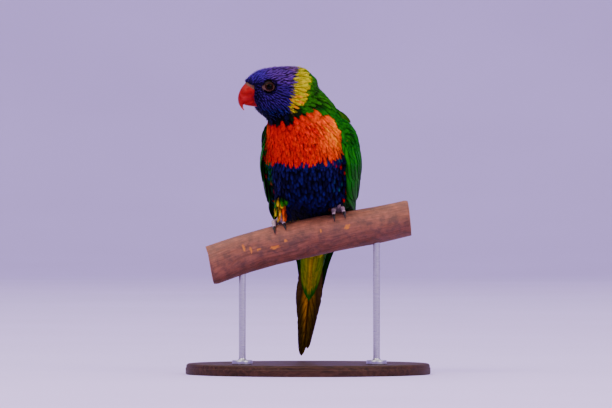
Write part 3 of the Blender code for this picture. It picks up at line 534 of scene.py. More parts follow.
class LorikeetSettings(bpy.types.PropertyGroup):
    plumage: PointerProperty(type=LorikeetPlumage)
    bare: PointerProperty(type=LorikeetBare)
    perch: PointerProperty(type=LorikeetPerch)
    stand: PointerProperty(type=LorikeetStand)
    stage: PointerProperty(type=LorikeetStage)


def settings():
    return bpy.context.scene.lorikeet


# Where a point lies on the bird, for its markings and for the way its feathers lie


class Bird:
    """Reads each point's distance down the trunk, its angle from the middle of the chest, and its
    place in the head's frame."""

    def __init__(self):
        t, a = np.meshgrid(np.linspace(0.0, TRUNK_FORM.knots[-1], 150), np.arange(-180.0, 180.0, 3.0))
        self.t, self.a = t.ravel(), a.ravel()
        points = TRUNK_FORM.point(self.t, self.a - 90.0)
        self.tree = KDTree(len(points))
        for i, point in enumerate(points):
            self.tree.insert(point, i)
        self.tree.balance()
        end = TRUNK_FORM.knots[-1]
        ahead = TRUNK_FORM.point(np.minimum(self.t + 2.0, end), self.a - 90.0)
        behind = TRUNK_FORM.point(np.maximum(self.t - 2.0, 0.0), self.a - 90.0)
        self.tailward = unit(ahead - behind)

    def read(self, points):
        """Arrays for points in millimetres: the points and their x, y and z, the distance t down the
        trunk, the angle a, the way tailward, and h, w and v towards the bill, to the left and up."""
        points = np.asarray(points, float).reshape(-1, 3)
        near = np.array([self.tree.find(p)[1] for p in points], int)
        away = points - HEAD_MIDDLE
        x, y, z = points.T
        return SimpleNamespace(
            p=points, x=x, y=y, z=z, t=self.t[near], a=self.a[near], tailward=self.tailward[near],
            h=away @ HEAD_FORWARD, w=away @ HEAD_LEFT, v=away[:, 2],
        )


BIRD = Bird()


def on_head(at):
    """How far a point belongs to the head, 1, rather than to the trunk, 0."""
    low = spline_at(at.h, (-26.0, -14.0, -4.0, 8.0, 20.0), (8.0, -4.0, -14.0, -18.0, -18.0))
    return smooth(at.v, low - 2.0, low + 2.0)


def lie(at, normal):
    """The way feathers point: away from the bill on the head, tailward on the trunk."""
    out = unit(at.p - head_point(26.0, 0.0, 2.0)) - 0.06 * UP
    share = smooth(at.t + 0.8 * np.maximum(0.0, -14 - at.v), 6.0, 22.0)[:, None]
    way = out * (1 - share) + at.tailward * share
    # the breast's feathers sweep out over the bends of the wings
    sweep = smooth(at.z, 156.0, 166.0) * (1 - smooth(at.z, 184.0, 192.0)) * (at.p[:, 1] < -12)
    sweep = sweep * (0.75 * smooth(at.x, 6.0, 24.0) - 0.3 * smooth(-at.x, 14.0, 28.0))
    way = way + np.array([1.0, 0.0, 0.0]) * sweep[:, None]
    way = way - normal * np.sum(way * normal, axis=1, keepdims=True)
    return unit(way)


def blend_of(first, *layers):
    """A colour under others, each given with its share. Colours may be hex ones."""
    first = rgb(first) if isinstance(first, str) else first
    for second, share in zip(layers[::2], layers[1::2]):
        second = rgb(second) if isinstance(second, str) else second
        share = np.asarray(share, float)[..., None]
        first = first * (1 - share) + second * share
    return first


def plumage(name):
    return tint(getattr(settings().plumage, name))


# The borders of the markings: heights over X as seen from the front, and, on the head, reaches over
# its height
BREAST_TOP = (
    (-31, -25, -19, -13, -8, -3, 3, 9, 14, 18, 22, 26, 34),
    (186, 181.5, 181, 181, 184, 187.5, 189.5, 190, 190.5, 188, 185, 181, 176),
)
BREAST_FOOT = ((-31, -20.6, -9.3, 4.6, 18.5, 28.8, 34), (156, 153.7, 153.2, 154.4, 155.4, 160.5, 163.5))
HOOD_BACK = ((-16, -13, -7, 0, 8, 17), (-2.2, -2.2, -2.4, -4.4, -6.2, -8.8))
COLLAR_BACK = ((-16, -13.5, -12, -7, 0, 8, 17), (-4.0, -7.5, -10.5, -13.3, -15.1, -16.0, -17.4))


def zone_shares(at, noise=None):
    """How much each marking has of each point, with borders as ragged as the feathers make them."""
    n = np.zeros(len(at.x)) if noise is None else noise
    front = 1 - smooth(np.abs(at.a + 6), 70.0, 86.0)
    top = spline_at(at.x, *BREAST_TOP)
    foot = spline_at(at.x, *BREAST_FOOT)
    hood_back = spline_at(at.v, *HOOD_BACK)
    collar_back = spline_at(at.v, *COLLAR_BACK)
    hood = smooth(at.h + 1.2 * n - hood_back, -1.0, 1.0) * smooth(at.z - top + 1.5 * n, -0.5, 2.0)
    low_collar = smooth(at.v + 1.5 * n, -18.5, -14.0)
    collar = smooth(at.h + 1.2 * n - collar_back, -1.2, 1.2) * low_collar * (1 - hood)
    above, under = smooth(at.z - foot + 1.5 * n, -0.8, 0.8), smooth(at.t, 109.0, 115.0)
    red = front * (1 - smooth(at.z - top + n, -1.0, 1.0)) * above
    red = red * (1 - smooth(-at.x, 30.0, 31.5) * (at.z > 162))
    red = red * (1 - smooth(at.x, 27.0, 28.5) * (at.z < 178))
    high = 1 - smooth(at.t, 40.0, 46.0)
    return SimpleNamespace(
        hood=hood * high, collar=collar * high, red=red, blue=front * (1 - above) * (1 - under),
        vent=under * (1 - smooth(np.abs(at.a), 78.0, 96.0)), front=front,
    )


def thigh_share(at):
    """How much each point belongs to the feathered thighs, low on both sides of the front."""
    low = (at.z < 126.5) & (at.t > 55) & (at.y < -9)
    left = (at.x > 14.5) & (at.x < 20) & (at.z < 122.5)
    return (low & ((at.x < -15) | left)).astype(float)


def marking(at, seed=0):
    """The plumage's colour at each point, and what each marking has of it."""
    rng = RNG(seed + 11)
    n, m, k = (rng.uniform(-1, 1, len(at.x)) for _ in range(3))
    zone = zone_shares(at, n)
    # breast: red on the bird's right and in the middle, orange and yellow on its left
    orange = smooth(at.x + 5 * n, -2.0, 22.0) * (0.45 + 0.55 * smooth(at.z, 158.0, 170.0))
    orange = np.maximum(orange**1.3, 0.5 * smooth(-at.x + 3 * n, 27.0, 33.0))
    red = blend_of(
        plumage("breast"),
        "#980000", np.clip(0.3 + 0.25 * m, 0, 1),
        plumage("breast_side"), np.clip(orange + 0.1 * k, 0, 1),
        "#ff9000", 0.6 * smooth(orange + 0.35 * m, 0.7, 1.1),
    )
    # belly: blue black, with green, red and blue green flecks on its flanks
    side, flank = smooth(np.abs(at.a + 6), 48.0, 66.0), smooth(-at.x, 24.0, 28.0)
    fleck = side * (k > 0.5 - 0.3 * flank)
    blue = blend_of(
        plumage("belly"),
        "#020314", np.clip(0.4 + 0.6 * m, 0, 1),
        "#20145e", 0.4 * smooth(at.x, 4.0, 22.0) * smooth(at.z, 140.0, 155.0),
        "#02030c", 0.6 * (1 - smooth(at.z + 3 * n, 115.0, 131.0)),
        "#0a7000", 0.85 * flank * (m > -0.5),
        "#c80800", fleck * (m > 0),
        "#0c6068", 0.7 * fleck * (m <= 0),
    )
    vent = blend_of(plumage("vent"), "#2c4a0a", np.clip(0.3 + 0.6 * m, 0, 1))
    # olive to green thighs with yellow and orange tips
    leg = blend_of(
        "#e0b800",
        "#1c7c00", smooth(m + 0.06 * (at.z - 120), -0.1, 0.5),
        "#f05000", smooth(at.x + 2 * k, -21.0, -19.0) * (at.z < 123),
        "#5a200c", (at.x > 0) * 0.6,
    )
    # collar: yellow green, greener at its top and front, with orange flecks low on it
    yellow = blend_of(
        plumage("collar"),
        "#98a000", np.clip(0.25 + 0.3 * m, 0, 1),
        "#409000", 0.7 * smooth(at.v, 8.0, 18.0) * smooth(n, -0.2, 0.8),
        "#e88000", (k > 0.6) * smooth(-at.v, -2.0, 8.0) * 0.8,
    )
    # hood: violet crown, blue cheek, near black lores and throat
    streak = smooth(-at.h, -2.0, 9.0) * smooth(at.v, 8.0, 16.0) * (k > 0.1)
    crown = blend_of(
        plumage("crown"),
        "#3a1490", np.clip(0.3 + 0.3 * m, 0, 1),
        "#a4707c", 0.75 * streak,
        "#2c0c30", 0.8 * smooth(-at.h, -6.0, 6.0) * (k < -0.35),
        "#5c1cf0", 0.75 * smooth(at.h, 8.0, 20.0),
    )
    throat = blend_of("#06041c", "#28208c", np.clip(0.35 + 0.6 * m, 0, 1))
    lores = smooth(at.h, 16.0, 22.0) * (1 - smooth(at.v, 5.0, 9.0))
    eye = np.hypot(at.h - EYE_PLACE[0], at.v - EYE_PLACE[1])
    hood = blend_of(
        plumage("cheek"),
        "#140c5c", np.clip(0.25 + 0.4 * m, 0, 1),
        crown, smooth(at.v - 0.15 * at.h, 2.0, 8.5),
        "#0b0a2a", 0.6 * lores,
        throat, smooth(-at.v, 8.0, 16.0),
        "#020208", 0.85 * smooth(-at.v, 15.0, 20.0),
        "#0a0a28", 0.75 * (1 - smooth(eye, 4.5, 7.0)) * (np.abs(at.w) > EYE_SIDE),
    )
    # the green of the back, brighter on the nape, with painted shade under the collar and the throat
    painted_shade_under_collar = (1 - smooth(at.v, -21.0, -13.0)) * (1 - smooth(-at.h, 8.0, 18.0)) * (at.t < 45)
    painted_shade_under_throat = smooth(at.h, -14.0, -8.0) * (at.t < 45) * (1 - 0.7 * smooth(-at.w, 5.0, 11.0))
    made = blend_of(
        plumage("back"),
        "#0a3c00", 0.35 + 0.2 * m,
        "#2c6a00", 0.5 * smooth(at.v, -20.0, -8.0) * (at.t < 40),
        "#0a3400", 0.5 * painted_shade_under_collar,
        "#040606", 0.9 * painted_shade_under_throat,
        blue, np.round(zone.blue),
        red, np.round(zone.red),
        vent, np.round(zone.vent),
        leg, thigh_share(at),
        yellow, zone.collar,
        hood, zone.hood,
    )
    return np.clip(made, 0.0, 1.0), zone


# Skin


def closed_vane(points):
    """Faces of a closed sheet, from points laid out as two faces of rows and columns."""
    _, rows, columns = points.shape[:3]
    at = np.arange(2 * rows * columns).reshape(2, rows, columns)
    upper, lower = at
    quads = [
        np.stack([upper[:-1, :-1], upper[:-1, 1:], upper[1:, 1:], upper[1:, :-1]], -1).reshape(-1, 4),
        np.stack([lower[:-1, :-1], lower[1:, :-1], lower[1:, 1:], lower[:-1, 1:]], -1).reshape(-1, 4),
        np.stack([upper[1:, 0], upper[:-1, 0], lower[:-1, 0], lower[1:, 0]], -1)[:, ::-1],
        np.stack([upper[:-1, -1], upper[1:, -1], lower[1:, -1], lower[:-1, -1]], -1)[:, ::-1],
        np.stack([upper[0, :-1], upper[0, 1:], lower[0, 1:], lower[0, :-1]], -1)[:, ::-1],
        np.stack([upper[-1, 1:], upper[-1, :-1], lower[-1, :-1], lower[-1, 1:]], -1)[:, ::-1],
    ]
    return np.concatenate(quads)


def wing_bed(side):
    """The flesh and bone of a folded wing, which its feathers are rooted in."""
    s, q = np.meshgrid(np.linspace(0, 1, 28), np.linspace(-1, 1, 17), indexing="ij")
    along = 24.0 + 98.0 * s
    share = 0.5 + 0.47 * q * np.minimum(1.0, 0.55 + 3.0 * s)
    swell = spline_at(along, (24, 30, 42, 60, 80, 100, 122), (0.6, 2.4, 3.4, 2.5, 1.7, 1.2, 0.6))
    edge = np.maximum(0.0, 1 - np.abs(2 * share - 1) ** 5)
    top = wing_point(side, along, share, 1.6 + swell * edge)
    low = wing_point(side, along, share, np.where(along < 100, -2.5, 0.2))
    points = np.stack([top, low])
    return points.reshape(-1, 3), closed_vane(points)


# How much the tail is arched: its sides hang this many millimetres lower for each square one aside
TAIL_ARCH = 0.022


def tail_point(along, aside, height):
    """A point of the tail. It is arched, so that its sides hang lower than its middle."""
    along, aside, height = np.broadcast_arrays(along, aside, height)
    arched = height - TAIL_ARCH * aside**2
    spine = TAIL_ROOT + TAIL_AXIS * along[..., None]
    return spine + TAIL_LEFT * aside[..., None] + TAIL_BACK * arched[..., None]


def tail_axes():
    axis = unit(TAIL_TIP - TAIL_ROOT)
    left = np.array((1.0, -0.05, 0.0))
    left = unit(left - axis * np.dot(left, axis))
    back = unit(np.cross(left, axis))
    return axis, left, back if back[1] > 0 else -back


TAIL_AXIS, TAIL_LEFT, TAIL_BACK = tail_axes()
TAIL_LENGTH = float(np.linalg.norm(TAIL_TIP - TAIL_ROOT))


# Distance along the tail, half width and half depth of its fleshy root
TAIL_BED = (
    (-7, 9.5, 9.0), (0, 10.8, 10.4), (6, 10.0, 9.0), (12, 8.8, 7.0), (18, 7.4, 5.0), (24, 5.8, 3.4),
    (31, 3.0, 1.4),
)


def tail_bed():
    """The fleshy root of the tail, from inside the trunk's end on."""
    turn = np.linspace(0, 2 * math.pi, 40, endpoint=False)
    rings = [
        TAIL_ROOT + TAIL_AXIS * along + TAIL_LEFT * (half * np.cos(turn))[:, None]
        + TAIL_BACK * (deep * np.sin(turn))[:, None]
        for along, half, deep in TAIL_BED
    ]
    points = np.concatenate(rings + [[rings[0].mean(0)], [rings[-1].mean(0)]])
    return points, bar_faces(len(rings), len(turn))


# The size of the skin's quads in millimetres
SKIN_VOXEL = 1.15


def eye_rim(turn):
    """How far the bare skin reaches from the middle of the eye: a ring, with a wedge to the lores.
    The turn is 0 towards the bill."""
    wedge = np.exp(-((np.angle(np.exp(1j * (turn + 0.32))) / 0.34) ** 2))
    return EYE_RING + 1.1 * wedge


def eye_polar(at):
    """Distance and turn round the eye on each point's side of the head."""
    h, v = at.h - EYE_PLACE[0], at.v - EYE_PLACE[1]
    return np.hypot(h, v), np.arctan2(v, h)


def build_skin():
    """One skin for head, neck, torso, thighs and the roots of wings and tail. It lies inside the
    solids by the depth of the coat."""
    parts = []
    for node in ("head", "neck", "torso", "thigh_left", "thigh_right"):
        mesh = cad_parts[node].data
        shape = bmesh.new()
        shape.from_mesh(mesh)
        bmesh.ops.remove_doubles(shape, verts=shape.verts, dist=1e-6)
        shape.normal_update()
        grown = 0.6 if node.startswith("thigh") else 0.35
        faces = [[v.index for v in f.verts] for f in shape.faces]
        parts.append((np.array([v.co / MM + v.normal * grown for v in shape.verts]), faces))
        shape.free()
    made = clean_up(add_mesh("skin", *joined([*parts, wing_bed(1.0), wing_bed(-1.0), tail_bed()])))
    step = made.modifiers.new("one skin", "REMESH")
    step.mode = "VOXEL"
    step.voxel_size = SKIN_VOXEL * MM
    ease = made.modifiers.new("ease", "SMOOTH")
    ease.factor, ease.iterations = 0.5, 8
    bake(made)
    shape = bmesh.new()
    shape.from_mesh(made.data)
    keep_main_surface(shape)
    bmesh.ops.triangulate(shape, faces=shape.faces)
    shape.normal_update()
    co = np.array([v.co for v in shape.verts]) / MM
    normal = np.array([v.normal for v in shape.verts])
    at = BIRD.read(co)
    depth = 0.95 + 0.45 * smooth(at.t, 8.0, 24.0) - 0.25 * smooth(at.h, 8.0, 20.0) * on_head(at)
    co = co - normal * depth[:, None]
    # the forehead stands out over the root of the bill
    brow = smooth(at.h, 17.5, 24.5) * smooth(at.v, 3.0, 7.0) * (1 - smooth(np.abs(at.w), 4.5, 9.0))
    co = co + (HEAD_FORWARD * 2.7 - UP * 1.0) * brow[:, None]
    # the cheeks come forward over the gape, and the nape is full
    gape = smooth(at.h, 13.0, 21.0) * smooth(at.v, -18.0, -13.0) * (1 - smooth(at.v, -9.0, 3.0))
    nape = smooth(-at.h, 9.0, 16.0) * smooth(at.v, -20.0, -8.0) * (1 - smooth(at.v, 9.0, 15.0))
    co = co + HEAD_FORWARD * (3.0 * gape - 2.4 * nape)[:, None]
    # a shallow bay for each eye
    at = BIRD.read(co)
    away, _ = eye_polar(at)
    limit = 10.2 + 30.0 * smooth(away, 4.6, 9.0) ** 2
    near = (away < 7.0) & (np.abs(at.w) > limit)
    push = (np.abs(at.w) - limit) * np.sign(at.w)
    co[near] -= HEAD_LEFT * push[near][:, None]
    for vertex, spot in zip(shape.verts, co * MM):
        vertex.co = spot
    shape.to_mesh(made.data)
    shape.free()
    made.data.shade_smooth()
    bpy.context.view_layer.objects.active = made
    bpy.ops.object.select_all(action="DESELECT")
    made.select_set(True)
    made.data.uv_layers.new(name="OFBake")
    bpy.ops.object.mode_set(mode="EDIT")
    bpy.ops.mesh.select_all(action="SELECT")
    bpy.ops.uv.smart_project(angle_limit=math.radians(60), island_margin=0.004)
    bpy.ops.object.mode_set(mode="OBJECT")
    at = BIRD.read(read_all(made.data.vertices, "co", 3) / MM)
    shade, zone = marking(at)
    # the skin and its down are much darker than the plumage over them: partly grey down, partly painted shade
    # that shows between the feathers
    bright = 0.08 + 0.4 * np.maximum(zone.red, zone.collar) + 0.12 * zone.vent
    bright = np.maximum(bright, 0.3 * thigh_share(at))
    set_points(made, "plumage", shade * bright[:, None])
    return made


def keep_main_surface(shape):
    """Drops the closed surfaces that a remesh leaves inside the largest one."""
    left, shells = set(shape.faces), []
    while left:
        shell, front = [], [left.pop()]
        while front:
            face = front.pop()
            shell.append(face)
            for edge in face.edges:
                for other in edge.link_faces:
                    if other in left:
                        left.remove(other)
                        front.append(other)
        shells.append(shell)
    shells.sort(key=len)
    loose = [face for shell in shells[:-1] for face in shell]
    bmesh.ops.delete(shape, geom=loose, context="FACES")


def read_all(rows, key, size, kind=float):
    """A property of every vertex, loop or face of a mesh, and how many numbers each has."""
    values = np.empty(len(rows) * size, kind)
    rows.foreach_get(key, values)
    return values.reshape(-1, size)


class Skin:
    """The finished skin, for feathers to be rooted in and to lie on."""

    def __init__(self, made):
        mesh = made.data
        self.points = read_all(mesh.vertices, "co", 3) / MM
        self.normals = read_all(mesh.vertices, "normal", 3)
        self.faces = read_all(mesh.polygons, "vertices", 3, int)
        self.uv = read_all(mesh.uv_layers["OFBake"].data, "uv", 2).reshape(-1, 3, 2)
        self.tree = BVHTree.FromPolygons(self.points.tolist(), self.faces.tolist())

    def land(self, points):
        """The nearest place on the skin of each point: place, eased normal, and place on the unwrap."""
        spots, index = np.empty_like(points), np.empty(len(points), int)
        for i, point in enumerate(points):
            spot, _, face, _ = self.tree.find_nearest(Vector(point))
            spots[i], index[i] = spot, face
        corners = self.points[self.faces[index]]
        share = barycentric(spots, corners)
        normal = unit(np.einsum("nk,nkc->nc", share, self.normals[self.faces[index]]))
        return spots, normal, np.einsum("nk,nkc->nc", share, self.uv[index])


def barycentric(spots, corners):
    a, b, c = corners[:, 0], corners[:, 1], corners[:, 2]
    ab, ac, ap = b - a, c - a, spots - a
    d00, d01, d11 = (ab * ab).sum(1), (ab * ac).sum(1), (ac * ac).sum(1)
    d20, d21 = (ap * ab).sum(1), (ap * ac).sum(1)
    bottom = np.maximum(d00 * d11 - d01 * d01, 1e-12)
    second = (d11 * d20 - d01 * d21) / bottom
    third = (d00 * d21 - d01 * d20) / bottom
    return np.clip(np.stack([1 - second - third, second, third], 1), 0, 1)


# Feathers


def scatter(skin, spacing, seed):
    """Places on the skin at least a spacing apart. The spacing is a function of the place."""
    rng = RNG(seed)
    corners = skin.points[skin.faces]
    cross = np.cross(corners[:, 1] - corners[:, 0], corners[:, 2] - corners[:, 0])
    area = np.linalg.norm(cross, axis=1) / 2
    middle = BIRD.read(corners.mean(1))
    room = spacing(middle)
    weight = np.where(room > 0, area / np.maximum(room, 0.1) ** 2, 0.0)
    count = int(weight.sum() * 4.0)
    pick = rng.choice(len(area), count, p=weight / weight.sum())
    u, v = rng.uniform(0, 1, count), rng.uniform(0, 1, count)
    flip = u + v > 1
    u[flip], v[flip] = 1 - u[flip], 1 - v[flip]
    corners = corners[pick]
    a, b, c = corners[:, 0], corners[:, 1], corners[:, 2]
    spots = a + (b - a) * u[:, None] + (c - a) * v[:, None]
    room = room[pick]
    cell = float(room.max())
    grid, kept = {}, []
    around = [(dx, dy, dz) for dx in (-1, 0, 1) for dy in (-1, 0, 1) for dz in (-1, 0, 1)]
    for i, (spot, reach) in enumerate(zip(spots, room)):
        x, y, z = (int(math.floor(c / cell)) for c in spot)
        near = (j for dx, dy, dz in around for j in grid.get((x + dx, y + dy, z + dz), ()))
        if all((gap := spots[j] - spot) @ gap >= reach * reach for j in near):
            grid.setdefault((x, y, z), []).append(i)
            kept.append(i)
    return spots[kept]


def feather_shape(barbs):
    """One feather as points (s along, q across, lift) and triangles: a shaft, and barbs on both sides
    that lie close near the shaft and part towards the edge."""
    points, faces, kind = [], [], []

    def bar(rings, end):
        """A bar of triangles through rings of three points to its tip."""
        start = len(points)
        points.extend([point for ring in rings for point in ring] + [end])
        for i in range(len(rings) - 1):
            for k in range(3):
                a, b = start + 3 * i + k, start + 3 * i + (k + 1) % 3
                faces.extend([(a, b, b + 3), (a, b + 3, a + 3)])
        last, tip_at = len(points) - 4, len(points) - 1
        faces.extend((last + k, last + (k + 1) % 3, tip_at) for k in range(3))

    shaft = (0.0, 0.07, 0.10), (0.45, 0.055, 0.09), (0.8, 0.035, 0.06)
    bar([[(s, -half, 0.0), (s, half, 0.0), (s, 0.0, rise)] for s, half, rise in shaft], (0.97, 0.0, 0.0))
    kind += [1.0] * len(points)
    for side in (-1.0, 1.0):
        for j, u in enumerate((np.arange(barbs) + 0.5) / barbs):
            s0 = 0.06 + 0.84 * u
            full = math.sqrt(max(0.0, 1 - max(0.0, (u - 0.45) / 0.55) ** 2.2))
            full = full * (0.62 + 0.38 * min(1.0, u / 0.3))
            full = max(full, 0.16) * (1.0 - 0.12 * (j % 3 == 1))
            reach = 0.20 + 0.10 * (1 - u)
            wide = 0.84 / barbs * 0.62
            low = 0.025 if side > 0 else 0.0
            rings = []
            for r, thick in ((0.0, 1.0), (0.55, 0.745)):
                s = s0 + reach * r**1.3 * full
                q = side * full * r
                half = wide * thick
                lift = 0.05 * (1 - r) + low
                rings.append([(s - side * half, q, lift), (s + side * half, q, lift), (s, q, lift + 0.05)])
            s = min(s0 + reach * full + 0.02, 1.03)
            bar(rings, (s, side * full, -0.02))
            kind += [0.0, 0.0, 0.0, 0.45, 0.45, 0.45, 0.8]
    return np.array(points), np.array(faces), np.array(kind)


# Places along each feather that are laid on the skin, and how low the thighs' feathers hang
STATIONS, HANG_LOW = 5, 110.5


def march(skin, roots, lengths, seed):
    """Lays each feather's spine over the skin. Gives the places and normals of its stations, its
    place on the unwrap, and whether it is kept."""
    rng = RNG(seed + 31)
    spots, normal, uv = skin.land(roots)
    at = BIRD.read(spots)
    way = lie(at, normal)
    # the feathers of the thighs hang free, down to the feet
    hang = (thigh_share(at) > 0.5)[:, None]
    lengths = np.where(hang[:, 0], np.clip(spots[:, 2] - HANG_LOW, 3.0, lengths), lengths)
    turn = rng.normal(0, 0.12, len(roots))[:, None]
    way = unit(way * np.cos(turn) + np.cross(normal, way) * np.sin(turn))
    places, normals = [spots], [normal]
    step = (lengths / (STATIONS - 1))[:, None]
    stop = np.ones(len(roots))
    for _ in range(STATIONS - 1):
        ahead = places[-1] + way * step
        spots, normal, _ = skin.land(ahead)
        spots, normal = np.where(hang, ahead, spots), np.where(hang, normals[0], normal)
        at = BIRD.read(spots)
        away, _ = eye_polar(at)
        stop = np.where((away < EYE_RING - 0.2) & (np.abs(at.w) > EYE_SIDE), 0.0, stop)
        local, down = lie(at, normal), unit(way - 0.5 * UP)
        way = unit(way * 0.55 + local * 0.45)
        way = np.where(hang, down, unit(way - normal * np.sum(way * normal, axis=1, keepdims=True)))
        # on past the skin's own edge the feather keeps straight, and goes if it leaves the bird
        stop = np.where(np.linalg.norm(spots - ahead, axis=1) > 4.0, 0.0, stop)
        spots = np.where(np.linalg.norm(spots - ahead, axis=1, keepdims=True) > 1.2, ahead, spots)
        places.append(spots)
        normals.append(normal)
    return np.stack(places, 1), np.stack(normals, 1), uv, stop


def build_coat(name, skin, roots, length, width, lift, barbs, seed):
    """A piece of the coat from its roots. Length, width and lift are arrays in millimetres."""
    places, normals, uv, stop = march(skin, roots, length, seed)
    keep = stop > 0
    places, normals, uv = places[keep], normals[keep], uv[keep]
    length, width, lift = length[keep], width[keep], lift[keep]
    count = len(places)
    rng = RNG(seed + 5)
    shape, faces, kind = feather_shape(barbs)
    s = np.clip(shape[:, 0], 0, 1.05) * (STATIONS - 1)
    low = np.clip(np.floor(s).astype(int), 0, STATIONS - 2)
    share = (s - low)[:, None]
    spine = places[:, low] * (1 - share) + places[:, low + 1] * share
    up = unit(normals[:, low] * (1 - share) + normals[:, low + 1] * share)
    ahead = np.gradient(places, axis=1)
    ahead = unit(ahead[:, low] * (1 - share) + ahead[:, low + 1] * share)
    side = np.cross(ahead, up)
    s1 = np.clip(shape[:, 0], 0, 1.05)
    height = -0.25 * (1 - s1) ** 2 + s1**0.8 * lift[:, None]
    height = height + rng.normal(0, 0.06, count)[:, None] * s1
    lean = rng.normal(0, 0.07, count)[:, None]
    q = shape[:, 1] * (width / 2)[:, None]
    drop = -0.05 * q**2 / np.maximum(width / 2, 0.5)[:, None] + lean * q
    height = height + drop + shape[:, 2] * (width / 2)[:, None] * 0.8
    points = spine + up * height[..., None] + side * q[..., None]
    faces = faces[None] + (np.arange(count) * len(shape))[:, None, None]
    made = add_mesh(name, points, faces.reshape(-1, 3))
    # each feather has one marking, from the point of it that shows, paler or darker by its parts
    colour, zone = marking(BIRD.read(places[:, 3]), seed)
    set_feather_colours(made, colour, zone, kind, s1, shape[:, 1], count)
    uvs = uv[:, None] + np.stack([shape[:, 1] * 0.0015, (shape[:, 0] - 0.5) * 0.003], -1)[None]
    set_uvs(made, uvs.reshape(-1, 2))
    return made


def set_feather_colours(made, colour, zone, kind, s, across, count):
    hood, blue = zone.hood[:, None], zone.blue[:, None]
    bright = np.maximum(zone.red, zone.collar)[:, None]
    # feathers are dark at the root, partly their own darker bases and partly painted shade: it shows between
    # those of the hood and the belly
    root = 0.25 + 0.45 * bright - 0.2 * hood - 0.12 * blue + 0.1 * zone.collar[:, None]
    rise = smooth(s, 0.3, 0.7)[None] * (1 - hood) + smooth(s, 0.08, 0.35)[None] * hood
    tone = root + (1 - root) * rise
    # the barbs' ends are darker, most of all on the hood and the belly: partly the feathers' own darker
    # edges, partly painted shade between the feathers
    edge = smooth(kind, 0.2, 0.8) * (kind < 0.95)
    tone = tone * (1 - edge[None] * (0.12 + 0.82 * hood + 0.7 * blue)) * (1 - 0.3 * hood)
    # streaks along each feather
    rng = RNG(count)
    phase, fine = rng.uniform(0, 6.3, (count, 1)), rng.uniform(3.0, 6.0, (count, 1))
    streak = np.sin(fine * across[None] + phase) * np.cos(1.7 * fine * across[None] - phase)
    tone = tone * (1 + 0.28 * (1 - hood) * (1 - 0.6 * zone.collar[:, None]) * streak)
    shaded = colour[:, None] * tone[..., None]
    # narrow head feathers have a pale shaft between dark edges
    pale = (kind > 0.95) * hood * smooth(s, 0.2, 0.5)
    shaft = colour * 2.3 + rgb("#5a3cb4") * 0.65
    shaded = shaded * (1 - pale[..., None]) + shaft[:, None] * pale[..., None]
    dark = (kind > 0.95) * (1 - hood) * 0.2
    shaded = shaded * (1 - dark[..., None])
    set_points(made, "plumage", np.clip(shaded, 0, 1).reshape(-1, 3))


def set_uvs(made, uvs):
    """Writes one place on the unwrap for each point to its OFBake map."""
    index = read_all(made.data.loops, "vertex_index", 1, int).ravel()
    made.data.uv_layers.new(name="OFBake")
    made.data.uv_layers["OFBake"].data.foreach_set("uv", uvs[index].astype(np.float32).ravel())


# Materials. Every pattern's scale is a real size in millimetres


def mm(size):
    """The scale of a pattern whose repeats are this many millimetres apart."""
    return 1.0 / (size * MM)


def feather_keratin(name, gloss=0.55, barb=0.45):
    """Feather keratin, grown in fine barbs: soft to satin, with fine streaks of light along it."""
    n = Nodes(name)
    marks = n.add("VertexColor", {}, layer_name="plumage")
    where = n.add("TexCoord", {}, "Object")
    mottle = n.add("TexNoise", {"Vector": where, "Scale": mm(2.4), "Detail": 3.0})
    fine = n.add("TexNoise", {"Vector": where, "Scale": mm(barb), "Detail": 2.0})
    light = n.add("MapRange", (mottle, 0.3, 0.7, 0.72, 1.22))
    streak = n.add("MapRange", (fine, 0.3, 0.7, 0.85, 1.15))
    both = n.add("Math", (light, streak), operation="MULTIPLY")
    tinted = n.add("VectorMath", {0: marks, "Scale": both}, operation="SCALE")
    bump = n.add("Bump", {"Height": fine, "Strength": 0.25, "Distance": 0.15 * MM})
    rough = n.add("MapRange", (mottle, 0.0, 1.0, gloss - 0.08, gloss + 0.12))
    return n.set(Base_Color=tinted, Roughness=rough, Normal=bump, IOR=1.54, Specular_IOR_Level=0.03)


def vane_keratin(name):
    """Flight feather keratin: a zipped web of slanting barbs either side of the shaft, with a satin
    shine. The barbs are 0.3 mm apart on the real feather and are drawn 0.6 mm apart."""
    n = Nodes(name)
    marks = n.add("VertexColor", {}, layer_name="plumage")
    along = n.add("Attribute", {}, "Fac", attribute_name="barbs")
    wave = n.add("Math", (along, 2 * math.pi / 0.6), operation="MULTIPLY")
    ridge = n.add("Math", (wave,), operation="SINE")
    where = n.add("TexCoord", {}, "Object")
    mottle = n.add("TexNoise", {"Vector": where, "Scale": mm(3.0), "Detail": 4.0})
    light = n.add("MapRange", (mottle, 0.3, 0.7, 0.78, 1.2))
    lines = n.add("MapRange", (ridge, -1.0, 1.0, 0.80, 1.1))
    both = n.add("Math", (light, lines), operation="MULTIPLY")
    tinted = n.add("VectorMath", {0: marks, "Scale": both}, operation="SCALE")
    bump = n.add("Bump", {"Height": ridge, "Strength": 0.35, "Distance": 0.06 * MM})
    rough = n.add("MapRange", (mottle, 0.0, 1.0, 0.44, 0.64))
    return n.set(Base_Color=tinted, Roughness=rough, Normal=bump, IOR=1.54, Specular_IOR_Level=0.02)


